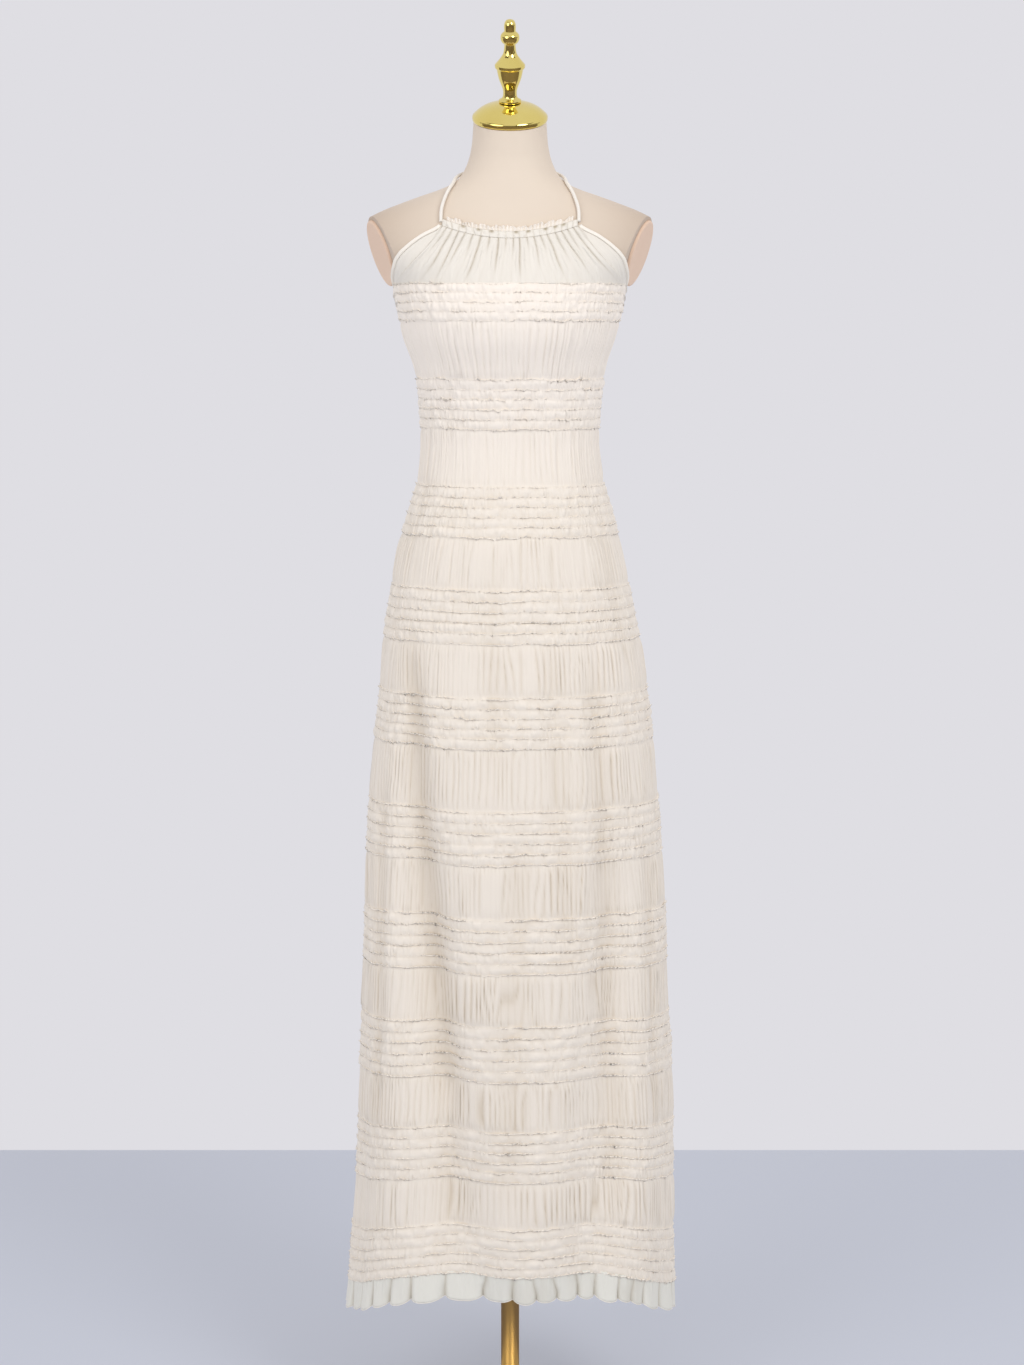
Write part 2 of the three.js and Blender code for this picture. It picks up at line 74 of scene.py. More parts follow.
# Bands of frilled rows: top, bottom and number of rows
bands = ((1558, 1512, 4), (1437, 1374, 5), (1300, 1237, 5), (1169, 1101, 5), (1031, 966, 5),
         (883, 814, 5), (741, 669, 5), (598, 524, 5), (455, 387, 5), (322, 256, 5))
plainStretches = [(upper[1], lower[0]) for upper, lower in zip(bands[:-1], bands[1:])]
# Soft folds of the skirt: degrees at the high and the low height, width, depth, and the heights
# where each begins and where it is full
folds = ((-47, -22, 13, 25, 1080, 680), (47, 31, 14, 19, 990, 560), (-78, -74, 12, 8, 830, 400),
         (78, 70, 12, 7, 830, 400), (116, 112, 14, 15, 1010, 600), (152, 146, 14, 20, 1070, 640),
         (-110, -114, 14, 14, 1010, 600), (-146, -154, 14, 22, 1070, 640))
# Degrees round from the front at which the armhole's edge lies
armhole = {"z": (1546, 1559, 1566, 1575, 1587, 1600, 1615, 1630.5),
           "angle": (90, 77.14, 69, 60, 51, 41.5, 32.5, 24)}
dress = {"power": 0.93, "top": 1559, "bottom": 253, "hem": 222, "underarm": 13, "sideStart": 0.25 * side,
         "foldHigh": 1000, "foldLow": 430}
nearby = 0.02  # the turn over which a section's direction is found


class Curve:
    # A smooth curve through rows that doesn't overshoot them
    def __init__(self, heights, values):
        order = np.argsort(heights)
        self.x = np.array(heights, float)[order]
        self.y = np.array(values, float)[order]
        rate = np.diff(self.y) / np.diff(self.x)
        both = rate[:-1] * rate[1:]
        total = np.where(both > 0, rate[:-1] + rate[1:], 1)
        self.slope = np.zeros_like(self.x)
        self.slope[1:-1] = np.where(both > 0, 2 * both / total, 0)

    def __call__(self, x):
        k = np.clip(np.searchsorted(self.x, x, side="right") - 1, 0, len(self.x) - 2)
        span = self.x[k + 1] - self.x[k]
        t = np.clip((x - self.x[k]) / span, 0, 1)
        start, end = (2 * t**3 - 3 * t**2 + 1), (3 * t**2 - 2 * t**3)
        bend = (t**3 - 2 * t**2 + t) * self.slope[k] + (t**3 - t**2) * self.slope[k + 1]
        return start * self.y[k] + end * self.y[k + 1] + bend * span


def curves(rows):
    return {key: Curve(rows["z"], values) for key, values in rows.items() if key != "z"}


formCurves, dressCurves, hangCurves = curves(formSections), curves(dressSections), curves(hangRows)
armholeCurve = curves(armhole)["angle"]


def ease(x, low, high):
    t = np.clip((x - low) / (high - low), 0, 1)
    return t * t * (3 - 2 * t)


def lerp(a, b, t):
    return a + (b - a) * t


def downRows(start, end, count):
    return np.linspace(start, end, count)[:, None]


def acrossRow(start, end, count):
    return np.linspace(start, end, count)[None, :]


def onSection(left, right, front, back, angle, z, out):
    def place(turn):
        across, ahead = np.sin(turn), np.cos(turn)
        across = np.sign(across) * np.abs(across) ** dress["power"]
        ahead = np.sign(ahead) * np.abs(ahead) ** dress["power"]
        return across * np.where(across < 0, left, right), -ahead * np.where(ahead > 0, front, back)

    (x, y), (x0, y0), (x1, y1) = place(angle), place(angle - nearby), place(angle + nearby)
    long = np.hypot(x1 - x0, y1 - y0)
    x, y = x + out * (y1 - y0) / long, y - out * (x1 - x0) / long
    return np.stack(np.broadcast_arrays(x, y, z), axis=-1)


def formPoint(angle, z, out=0.0):
    half = formCurves["half"](z)
    return onSection(half, half, formCurves["front"](z), formCurves["back"](z), angle, z, out)


def formFacing(angle, z):
    along = formPoint(angle + nearby, z) - formPoint(angle - nearby, z)
    up = formPoint(angle, z + 0.5) - formPoint(angle, z - 0.5)
    facing = np.cross(along, up)
    return facing / np.linalg.norm(facing, axis=-1, keepdims=True)


def chestPoint(across, z, out):
    share = np.clip(np.abs(across) / formCurves["half"](z), 0, 1) ** (1 / dress["power"])
    return formPoint(np.sign(across) * np.arcsin(share), z, out)


def hangAt(angle, level):
    around = np.arccos(np.cos(angle))
    toSide, toBack = ease(around, dress["sideStart"], side), ease(around, side, math.pi)
    low = hangCurves["side"](level) * toSide
    low = lerp(low, hangCurves["back"](level), toBack)
    underarmStart = math.radians(armhole["angle"][1])
    rise = np.clip((around - underarmStart) / (side - underarmStart), 0, 1)
    return low + dress["underarm"] * ease(level, bands[0][1], dress["top"]) * rise


def foldDepth(angle, z):
    total = 0
    for upper, lower, width, depth, start, full in folds:
        centre = lerp(upper, lower, (z - dress["foldHigh"]) / (dress["foldLow"] - dress["foldHigh"]))
        away = (np.degrees(angle) - centre + 540) % 360 - 180
        total = total + depth * (1 - ease(z, full, start)) * np.exp(-((away / width) ** 2))
    return total


def dressPoint(angle, level, out):
    z = level - hangAt(angle, level)
    rows = [dressCurves[key](z) for key in ("left", "right", "front", "back")]
    return onSection(*rows, angle, z, out - foldDepth(angle, z))


def halfRound(level):
    ring = dressPoint(np.linspace(-side, side, 60), float(level), 0.0)
    return np.linalg.norm(np.diff(ring, axis=0), axis=1).sum()


# Repeatable smooth variation between -1 and 1, over cells of the given sizes
def drift(seed, u, v, cellU, cellV):
    u, v = np.broadcast_arrays(u / cellU, v / cellV)
    u, v = u - u.min(), v - v.min()
    lattice = np.random.default_rng(seed).uniform(-1, 1, (int(v.max()) + 2, int(u.max()) + 2))
    i, j = np.floor(v).astype(int), np.floor(u).astype(int)
    s, t = ease(v - i, 0, 1), ease(u - j, 0, 1)
    upper = lerp(lattice[i, j], lattice[i, j + 1], t)
    lower = lerp(lattice[i + 1, j], lattice[i + 1, j + 1], t)
    return lerp(upper, lower, s)


# Meshes
def newObject(name, data):
    obj = bpy.data.objects.new(name, data)
    bpy.context.scene.collection.objects.link(obj)
    return obj


def newMesh(name, points, faces, material):
    mesh = bpy.data.meshes.new(name)
    mesh.from_pydata([tuple(p) for p in np.asarray(points, float) * mm], [], faces)
    mesh.update()
    mesh.materials.append(material)
    mesh.polygons.foreach_set("use_smooth", [True] * len(mesh.polygons))
    return newObject(name, mesh)


def opened(obj):
    work = bmesh.new()
    work.from_mesh(obj.data)
    return work


# Puts an opened mesh back, shaded smooth but for the edges sharper than the given degrees
def closed(work, obj, degrees):
    for face in work.faces:
        face.smooth = True
    for edge in work.edges:
        edge.smooth = edge.calc_face_angle(0) < math.radians(degrees)
    work.to_mesh(obj.data)
    work.free()
    return obj


def gridIndex(rows, columns, first=0):
    return np.arange(rows * columns).reshape(rows, columns) + first


def gridFaces(index, flip=False):
    a, b, c, d = index[:-1, :-1], index[1:, :-1], index[1:, 1:], index[:-1, 1:]
    quads = np.stack((d, c, b, a) if flip else (a, b, c, d), axis=-1)
    return [tuple(q) for q in quads.reshape(-1, 4).tolist()]


# Faces of closed rings that lie one over another, with both ends capped
def ringFaces(rings, segments):
    index = gridIndex(rings, segments)
    around = np.concatenate((index, index[:, :1]), axis=1)
    return gridFaces(around, flip=True) + [tuple(index[0, ::-1].tolist()), tuple(index[-1].tolist())]


# Faces of a strip whose section is a closed loop, with both ends capped
def loopFaces(index):
    around = np.concatenate((index, index[:1]))
    return gridFaces(around) + [tuple(index[:, 0].tolist()), tuple(index[::-1, -1].tolist())]


# Faces between two lines of points of unequal number
def zipped(upper, lower):
    faces, i, j = [], 0, 0
    upperPlaces, lowerPlaces = np.linspace(0, 1, len(upper)), np.linspace(0, 1, len(lower))
    while i < len(upper) - 1 or j < len(lower) - 1:
        ahead = j == len(lower) - 1 or (i < len(upper) - 1 and upperPlaces[i + 1] < lowerPlaces[j + 1])
        if ahead:
            faces.append((upper[i], lower[j], upper[i + 1]))
            i += 1
        else:
            faces.append((lower[j], lower[j + 1], upper[i]))
            j += 1
    return faces


def storeValues(obj, name, values, kind="FLOAT"):
    key = "vector" if kind == "FLOAT_VECTOR" else "value"
    values = np.asarray(values, np.float32).ravel()
    obj.data.attributes.new(name, kind, "POINT").data.foreach_set(key, values)


def storeCloth(obj, flat):
    layer = obj.data.uv_layers.new(name="cloth")
    corner = np.empty(len(obj.data.loops), dtype=int)
    obj.data.loops.foreach_get("vertex_index", corner)
    layer.data.foreach_set("uv", (flat[corner] * mm).ravel())


# A closed thin shell: a fine outer skin and a coarser inner one, each a grid from the top row down
def shell(name, outer, inner, material, cloth, paintedLight):
    outerIndex = gridIndex(*outer.shape[:2])
    innerIndex = gridIndex(*inner.shape[:2], outerIndex.size)
    faces = gridFaces(outerIndex) + gridFaces(innerIndex, flip=True)
    for upper, lower in ((innerIndex[0], outerIndex[0]), (outerIndex[-1], innerIndex[-1]),
                         (outerIndex[:, 0], innerIndex[:, 0]), (innerIndex[:, -1], outerIndex[:, -1])):
        faces += zipped(upper.tolist(), lower.tolist())
    points = np.concatenate((outer.reshape(-1, 3), inner.reshape(-1, 3)))
    obj = newMesh(name, points, faces, material)
    flat = np.stack(np.broadcast_arrays(*cloth), axis=-1).reshape(-1, 2)
    storeCloth(obj, np.concatenate((flat, np.zeros((innerIndex.size, 2)))))
    # Stores the outer skin's painted light and shade, which the finish reads; the inner skin gets a middle
    # tone
    storeValues(obj, "paintedLight", np.append(np.clip(paintedLight, 0, 1), np.full(innerIndex.size, 0.5)))
    return obj


# Declares a piece, which shows in place of its solid
def declare(piece, node):
    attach(piece, "root")
    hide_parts(node)


# Node trees
class Signal:
    def __init__(self, board, socket):
        self.board, self.socket = board, socket

    def worked(self, operation, *others):
        inputs = dict(enumerate((self, *others)))
        return self.board.node("ShaderNodeMath", inputs, operation=operation)[0]

    def operator(operation):
        return lambda self, other: self.worked(operation, other)

    __add__, __sub__, __mul__, __truediv__ = map(operator, ("ADD", "SUBTRACT", "MULTIPLY", "DIVIDE"))
    __radd__, __rmul__ = __add__, __mul__


def socketNamed(sockets, key):
    return sockets[key] if isinstance(key, int) else next(s for s in sockets if s.name == key and s.enabled)


class Made:
    def __init__(self, board, node):
        self.board, self.node = board, node

    def __getitem__(self, key):
        return Signal(self.board, socketNamed(self.node.outputs, key))


class Board:
    def __init__(self, tree):
        self.tree = tree

    def node(self, kind, inputs=None, **settings):
        made = self.tree.nodes.new(kind)
        for key, value in settings.items():
            setattr(made, key, value)
        for key, value in (inputs or {}).items():
            socket = socketNamed(made.inputs, key)
            if isinstance(value, Signal):
                self.tree.links.new(value.socket, socket)
            else:
                socket.default_value = value
        return Made(self, made)

    def blend(self, factor, first, second):
        return self.node("ShaderNodeMix", {0: factor, 6: first, 7: second}, data_type="RGBA")[2]

    def noise(self, vector, scale, detail):
        return self.node("ShaderNodeTexNoise", {"Vector": vector, "Scale": scale, "Detail": detail})["Fac"]

    # Noise drawn out unevenly along the three axes
    def drawnNoise(self, vector, scales):
        drawn = self.node("ShaderNodeMapping", {"Vector": vector, "Scale": scales})["Vector"]
        return self.noise(drawn, 1.0, 2.0)

    def bump(self, height, strength, distance):
        inputs = {"Height": height, "Strength": strength, "Distance": distance}
        return self.node("ShaderNodeBump", inputs)["Normal"]

    def spot(self):
        return self.node("ShaderNodeTexCoord")["Object"]

    def parts(self, vector):
        return self.node("ShaderNodeSeparateXYZ", {0: vector})

    def joined(self, x, y, z):
        return self.node("ShaderNodeCombineXYZ", {0: x, 1: y, 2: z})["Vector"]

    def scaled(self, vector, factor):
        return self.node("ShaderNodeVectorMath", {0: vector, "Scale": factor}, operation="SCALE")["Vector"]

    def stored(self, name, kind="FLOAT"):
        return self.node("GeometryNodeInputNamedAttribute", {"Name": name}, data_type=kind)["Attribute"]

    def moved(self, shape, offset):
        return self.node("GeometryNodeSetPosition", {"Geometry": shape, "Offset": offset})["Geometry"]


# A geometry tree with inputs for the given values, around the nodes that a function lays
def newTree(name, values, finish, lay):
    tree = bpy.data.node_groups.new(name, "GeometryNodeTree")
    tree.interface.new_socket("Geometry", in_out="INPUT", socket_type="NodeSocketGeometry")
    for label, value in values.items():
        kind = "NodeSocketInt" if isinstance(value, int) else "NodeSocketFloat"
        tree.interface.new_socket(label, in_out="INPUT", socket_type=kind)
    tree.interface.new_socket("Geometry", in_out="OUTPUT", socket_type="NodeSocketGeometry")
    board = Board(tree)
    shape = lay(board, board.node("NodeGroupInput"))
    real = board.node("GeometryNodeRealizeInstances", {"Geometry": shape})["Geometry"]
    dressed = board.node("GeometryNodeSetMaterial", {"Geometry": real, "Material": finish})["Geometry"]
    board.node("NodeGroupOutput", {"Geometry": dressed})
    return tree


# Puts the mesh that a tree makes of an object in that object's place
def grown(source, name, tree, values):
    modifier = source.modifiers.new("nodes", "NODES")
    modifier.node_group = tree
    for item in tree.interface.items_tree:
        if item.in_out == "INPUT" and item.name in values:
            modifier[item.identifier] = values[item.name]
    mesh = bpy.data.meshes.new_from_object(source.evaluated_get(bpy.context.evaluated_depsgraph_get()))
    bpy.data.objects.remove(source)
    mesh.polygons.foreach_set("use_smooth", [True] * len(mesh.polygons))
    return newObject(name, mesh)


# A curve through points, either bent smoothly between them or straight from each to the next
def newCurve(name, points, smooth=False):
    data = bpy.data.curves.new(name, "CURVE")
    data.dimensions = "3D"
    data.resolution_u = 24
    spline = data.splines.new("BEZIER" if smooth else "POLY")
    knots = spline.bezier_points if smooth else spline.points
    knots.add(len(points) - 1)
    for knot, spot in zip(knots, np.asarray(points) * mm):
        knot.co = spot if smooth else (*spot, 1)
        if smooth:
            knot.handle_left_type = knot.handle_right_type = "AUTO"
    return newObject(name, data)


# Finishes
def newFinish(name, lay):
    material = bpy.data.materials.new(name)
    material.use_nodes = True
    material.node_tree.nodes.clear()
    board = Board(material.node_tree)
    surface = board.node("ShaderNodeBsdfPrincipled", lay(board))["BSDF"]
    board.node("ShaderNodeOutputMaterial", {"Surface": surface})
    return material


def colour(*levels):
    shares = [level / 255 for level in levels]
    return (*(s / 12.92 if s <= 0.04045 else ((s + 0.055) / 1.055) ** 2.4 for s in shares), 1)


# The pale cloth: painted shade darkens it in its valleys, folds and hollows, painted light lifts it toward
# white above the waist, and a faint painted glow brightens its shadows
chiffon = {"cloud": 22.0, "slub": (900.0, 60.0, 1.0), "weave": 1400.0, "liftFrom": 1.28, "liftRate": 7.0,
           "pale": colour(238, 232, 222), "lifted": colour(250, 241, 231)}
fixed = {"Sheen Roughness": 0.5, "Specular IOR Level": 0.25}


def chiffonFinish(name, lit, deep, glow=0.08, lift=0.0):
    def lay(board):
        cloth = board.node("ShaderNodeUVMap", uv_map="cloth")["UV"]
        paintedLight = board.node("ShaderNodeAttribute", attribute_name="paintedLight")["Fac"]
        cloud = board.noise(cloth, chiffon["cloud"], 3.0)
        thread = board.drawnNoise(cloth, chiffon["slub"])
        weave = board.noise(cloth, chiffon["weave"], 1.0)
        # Painted light: the cloth is lifted toward white above the waist
        height = (board.parts(board.spot())["Z"] - chiffon["liftFrom"]) * chiffon["liftRate"]
        chest = height.worked("MINIMUM", 1.0).worked("MAXIMUM", 0.0)
        # Painted shade: the deep tone where the stored value is low, the lit tone where it is high
        base = board.blend(paintedLight, colour(*deep), colour(*lit))
        base = board.blend(0.10 * cloud, base, chiffon["pale"])
        base = board.blend(chest * lift, base, chiffon["lifted"])
        # The faint glow in the lit tone is painted light that brightens the shadows
        return {"Base Color": base, "Roughness": 0.82 + 0.1 * cloud, "Sheen Weight": 0.25,
                "Normal": board.bump(thread * 0.6 + weave * 0.4, 0.25, 0.0004),
                "Emission Color": colour(*lit), "Emission Strength": glow, **fixed}

    return newFinish(name, lay)


# The form's cover: a fine weave, with painted shade that darkens it toward the sides
cover = {"cloud": 14.0, "weave": (1500.0, 1500.0, 900.0), "sideRate": 30.0,
         "thread": colour(205, 180, 155), "side": colour(190, 170, 150)}


def coverFinish(name, shade, warm, shadow=0.0):
    def lay(board):
        spot = board.spot()
        cloud = board.noise(spot, cover["cloud"], 3.0)
        weave = board.drawnNoise(spot, cover["weave"])
        across = board.parts(spot)["X"]
        aside = (across * across * cover["sideRate"]).worked("MINIMUM", 1.0)
        base = board.blend(cloud * 0.5, colour(*shade), colour(*warm))
        base = board.blend(weave * 0.06, base, cover["thread"])
        # Painted shade toward the sides of the form
        base = board.blend(aside * shadow, base, cover["side"])
        return {"Base Color": base, "Roughness": 0.86 + 0.08 * cloud, "Sheen Weight": 0.15,
                "Normal": board.bump(weave, 0.3, 0.0004), **fixed}

    return newFinish(name, lay)


def brassFinish(name, tone, dark, polish, scratch):
    def lay(board):
        cloud = board.noise(board.spot(), 30.0, 4.0)
        line = board.drawnNoise(board.spot(), (900.0, 900.0, 25.0))
        return {"Base Color": board.blend(cloud * 0.45, colour(*tone), colour(*dark)), "Metallic": 1.0,
                "Roughness": polish + 0.08 * cloud, "Normal": board.bump(line, scratch, 0.0002)}

    return newFinish(name, lay)


# A plain finish that shows another tone in the metal's reflections: a painted reflection
def plainFinish(name, tone, mirroredTone):
    def lay(board):
        glossy = board.node("ShaderNodeLightPath")["Is Glossy Ray"]
        base = board.blend(glossy * 0.85, colour(*tone), colour(*mirroredTone))
        return {"Base Color": base, "Roughness": 0.55, "Specular IOR Level": 0.2}

    return newFinish(name, lay)


# Each cloth's lit tone and painted-shade tone, then its painted glow and its painted light above the waist
shirred = chiffonFinish("chiffonShirred", (229, 220, 207), (199, 184, 162), lift=0.42)
frilled = chiffonFinish("chiffonFrill", (232, 224, 213), (210, 198, 180), 0.12, 0.05)
hemmed = chiffonFinish("chiffonHem", (218, 216, 206), (186, 178, 161))
drawnUp = chiffonFinish("chiffonYoke", (226, 220, 209), (166, 153, 128))
trimmed = chiffonFinish("chiffonTrim", (237, 231, 220), (214, 203, 185))
strapCloth = coverFinish("strapCloth", (240, 235, 225), (234, 228, 216))
thread = plainFinish("thread", (240, 232, 216), (240, 232, 216))
formCover = coverFinish("formCover", (228, 214, 196), (222, 207, 187), 0.85)
armCover = coverFinish("armCover", (238, 209, 184), (230, 197, 171))
polished = brassFinish("polishedBrass", (250, 232, 142), (224, 192, 92), 0.05, 0.012)
satin = brassFinish("satinBrass", (236, 212, 160), (204, 176, 124), 0.3, 0.1)
# The floor shows dark brown only in the metal's reflections: a painted reflection
paleFloor = plainFinish("paleFloor", (194, 198, 207), (104, 82, 56))
print("stage: finishes made")


# Body panels. Ribs of the gathered cloth between the bands: pitch in mid stretch and beside a seam,
# height and fades
ribs = {"pitch": 6.8, "seamPitch": 4.0, "height": 3.2, "seamReach": 17, "fade": 5, "wall": 0.9, "fine": 0.35,
        "flat": 0.2, "sideFade": 7}
# Long creases: degrees at the top, degrees it wanders by the bottom, top and bottom height, width in
# degrees and depth in mm
creases = {
    "front": ((-16, 2, 1500, 1330, 4, 1.4), (9, -1, 1480, 1300, 5, 1.2), (38, 3, 1500, 1380, 4, 1.6),
              (-40, -2, 1475, 1310, 4, 1.5), (-62, 2, 1350, 1150, 5, 2.2), (58, -3, 1290, 1060, 6, 2.4),
              (-8, 3, 1240, 900, 5, 2.0), (16, 4, 1120, 640, 5, 2.4), (-50, 28, 1130, 460, 7, 6.5),
              (36, 3, 1100, 330, 6, 3.8), (3, -4, 880, 330, 4, 2.8), (-64, 6, 940, 420, 5, 3.0),
              (64, -3, 860, 420, 5, 2.8), (-24, 3, 520, 280, 5, 3.2)),
    "back": ((-20, 2, 1500, 1350, 5, 1.5), (24, -2, 1490, 1320, 5, 1.4), (-52, 3, 1330, 1130, 5, 2.2),
             (48, -3, 1300, 1080, 6, 2.0), (-10, 4, 1210, 820, 5, 2.2), (14, 3, 1040, 560, 5, 2.6),
             (0, -4, 800, 330, 4, 3.0), (-66, 5, 900, 480, 5, 2.6), (60, -5, 940, 460, 5, 3.0),
             (84, 0, 760, 380, 4, 2.4)),
}
creaseRoom = (1000, 1110)  # the creases fade over these heights, above which the cloth lies on the form
creaseFade = 80
# Soft rolls between a band's frilled lines: their reach from the cloth, and how full a place is
rolls = {"base": 1.3, "height": 1.4, "pleat": 2.7, "steps": (0, 0.2, 0.5, 0.8)}
clothWide = 500  # mm across a panel, for the bands' patterns
fullness = {"body": 1.25, "hem": 1.2}  # flat cloth to gathered width


def creaseDepth(panel, place, level):
    total = 0
    for centre, wander, top, bottom, width, depth in creases[panel]:
        centre = centre + wander * np.clip((top - level) / (top - bottom), 0, 1)
        reach = ease(level, bottom, bottom + creaseFade) * (1 - ease(level, top - creaseFade, top))
        total = total + depth * reach * np.exp(-((((place * 2 - 1) * 90 - centre) / width) ** 2))
    return total


# A point of a dress panel: its place is 0 at one side seam and 1 at the other
def clothPoint(panel, place, level, out):
    loose = 1 - ease(level, *creaseRoom)
    angle = centres[panel] + np.radians((place * 2 - 1) * 90)
    return dressPoint(angle, level, out - loose * creaseDepth(panel, place, level))


# Rounded ribs of uneven width, height and run, and the narrow valleys between them
def ribRelief(seed, u, level, pitch):
    widths = 1.5 * drift(seed, u, 0, pitch * 3.4, 1) + 0.5 * drift(seed + 1, u, level, pitch * 2, 58)
    phase = u / pitch + widths
    share = phase - np.floor(phase)
    rib = (1 - np.abs(2 * share - 1) ** 3.2) ** 0.8
    tall = np.random.default_rng(seed + 2).uniform(0.45, 1.0, 600)[np.floor(phase).astype(int) % 600]
    patch = np.clip(0.75 + 0.5 * drift(seed + 3, u, level, 46, 90), 0.3, 1.2)
    return rib * tall * patch, (1 - rib) * tall * patch


# The bands' lines wander a little up and down
def bandSway(panel, place, level):
    wander = drift(70 + round(centres[panel]), place * clothWide, level, 34, 26)
    return 1.3 * wander * np.sin(place * math.pi) ** 0.3


def bandRolls(panel, place, level):
    u, seed = place * clothWide, 40 + round(centres[panel])
    broad = 0.85 + 0.3 * drift(seed, u, level, 26, 13)
    drawn = np.abs(drift(seed + 1, u, level, 4.4, 9)) ** 0.8 + 0.4 * drift(seed + 2, u, level, 10, 14)
    reach, swell = 0, 0
    for high, low, rows in bands:
        within = (level <= high + 0.1) & (level >= low - 0.1)
        arch = np.abs(np.sin((high - level) * rows / (high - low) * math.pi)) ** 0.7
        rolled = (rolls["base"] + rolls["height"] * arch * broad
                  + rolls["pleat"] * (drawn - 0.4) * (0.35 + 0.65 * arch))
        reach = np.where(within, rolled, reach)
        swell = np.where(within, np.clip(0.4 + 0.4 * arch + 0.4 * drawn, 0.05, 1), swell)
    return reach, swell


# Levels of a panel's points: several to each row of a band, and about one each 6.5 mm elsewhere
def bodyLevels(top, bottom):
    levels = []
    for high, low, rows in bands:
        pitch = (high - low) / rows
        levels += [high - (row + step) * pitch for row in range(rows) for step in rolls["steps"]] + [low]
    for start, end in plainStretches:
        steps = round((start - end - 12) / 6.5)
        levels += [start - 2.5] + np.linspace(start - 6, end + 6, steps).tolist() + [end + 2.5]
    inside = [level for level in levels if bottom + 0.8 < level < top - 0.8]
    return np.array([top, *sorted(inside, reverse=True), bottom], float)


def bodyPiece(name, panel, top, bottom, columns, seed):
    level = bodyLevels(top, bottom)[:, None]
    place = acrossRow(0, 1, columns + 1)
    height = np.full((len(level), columns + 1), ribs["flat"])
    valley = np.zeros_like(height)
    for k, (high, low) in enumerate(plainStretches):
        here = ease(level, low, low + ribs["fade"]) * (1 - ease(level, high - ribs["fade"], high))
        if not here.any():
            continue
        middle, reach = (high + low) / 2, (high - low) / 2
        u = place * halfRound(middle)
        beside = ease(np.abs(level - middle), reach - ribs["seamReach"], reach)
        wide, wideValley = ribRelief(seed + 10 * k, u, level, ribs["pitch"])
        narrow, narrowValley = ribRelief(seed + 10 * k + 5, u, level, ribs["seamPitch"])
        fine = np.abs(drift(seed + 400 + k, u, level, 2.6, 30))
        tall = lerp(wide + 0.3 * narrow, 0.85 * narrow + 0.25 * wide, beside)
        puff = ribs["height"] * tall + ribs["fine"] * fine
        inside = ease(np.minimum(u, u[:, -1:] - u), 0, ribs["sideFade"])
        height = height + here * inside * (puff - ribs["flat"])
        valley = valley + here * inside * lerp(wideValley + 0.25 * narrowValley, narrowValley, beside)
    seamed = ease(np.minimum(place, 1 - place), 0, 0.02)
    reach, swell = bandRolls(panel, place, level)
    height = np.where(swell > 0, lerp(ribs["flat"], reach, seamed), height)
    flattened = creaseDepth(panel, place, level)
    swayed = level + np.where(swell > 0, bandSway(panel, place, level), 0)
    outer = clothPoint(panel, place, swayed, ribs["wall"] + np.maximum(height - 0.4 * flattened, -0.3))
    picked = np.unique(np.append(np.arange(0, len(level), 6), len(level) - 1))
    inner = clothPoint(panel, acrossRow(0, 1, 91), level[picked], 0.1)
    cloth = (place * halfRound((top + bottom) / 2), level)
    # Painted shade: in the rib valleys, more so lower down the skirt, on the band rolls where they are less
    # full, and along the creases
    shade = lerp(1.1, 0.7, ease(level, 700, 1300))
    paintedLight = np.where(swell > 0, 0.35 + 0.65 * swell, 0.95 - shade * valley) - 0.06 * flattened
    return shell(name, outer, inner, shirred, cloth, paintedLight)


bodyParts = (("Bodice", dress["top"], 1128, 300), ("Skirt", 1128, 698, 370),
             ("LowerSkirt", 698, dress["bottom"], 400))
bodySheets = {}
for panel, seed in (("front", 1100), ("back", 2100)):
    for k, (part, top, bottom, columns) in enumerate(bodyParts):
        piece = bodyPiece(panel + part, panel, top, bottom, columns, seed + 100 * k)
        declare(piece, panel + "_body")
        wide = halfRound((top + bottom) / 2) * fullness["body"]
        bodySheets[panel, part] = piece, (wide * mm, (top - bottom) * mm)
print("stage: body panels made")


# Frilled lines of the bands: a thin ridge along each, whose edge is waved. Up, out and tip give the
# corners of its section, and how much of the wave each takes
frill = {"step": 1.4, "up": (1.0, 0.0, -0.8), "out": (1.2, 3.9, 1.3), "tip": (0.15, 1.0, 0.15), "pitch": 5.6,
         "depth": 1.5, "lift": 2.4, "seamFade": 9}


def frillLines(name, panel, chosen, seed):
    up, out, tip = (np.array(frill[key])[:, None] for key in ("up", "out", "tip"))
    strips, faces, first = [], [], 0
    lines = [line for top, bottom, rows in chosen for line in np.linspace(top, bottom, rows + 1)]
    for row, start in enumerate(lines):
        girth = halfRound(start)
        place = acrossRow(0, 1, round(girth / frill["step"]) + 1)
        inside = ease(np.minimum(place, 1 - place) * girth, 0, frill["seamFade"])
        full = 0.95 + 0.45 * drift(seed + row, place * girth, 0, 22, 1) * inside
        level = start + up + bandSway(panel, place, start)
        reach = out[0, 0] + (out - out[0, 0]) * full
        made = clothPoint(panel, place, level, reach)
        facing = clothPoint(panel, place, level, reach + 1) - made
        values = np.stack(np.broadcast_arrays(place * girth, tip * inside, float(row)), axis=-1)
        strips.append(np.concatenate((made, facing, values), axis=-1).reshape(-1, 9))
        faces += loopFaces(gridIndex(*level.shape, first))
        first += level.size
    points, outward, along, tips, rows = np.split(np.concatenate(strips), (3, 6, 7, 8), axis=1)
    obj = newMesh(name, points, faces, frilled)
    # Painted light on each ridge's outer edge, painted shade at its feet
    for key, values in (("along", along * mm), ("tip", tips), ("row", rows), ("paintedLight", 0.5 + 0.5 * tips)):
        storeValues(obj, key, values)
    storeValues(obj, "outward", outward, "FLOAT_VECTOR")
    storeCloth(obj, np.concatenate((along, tips * 4 + rows * 20), axis=1))
    return obj


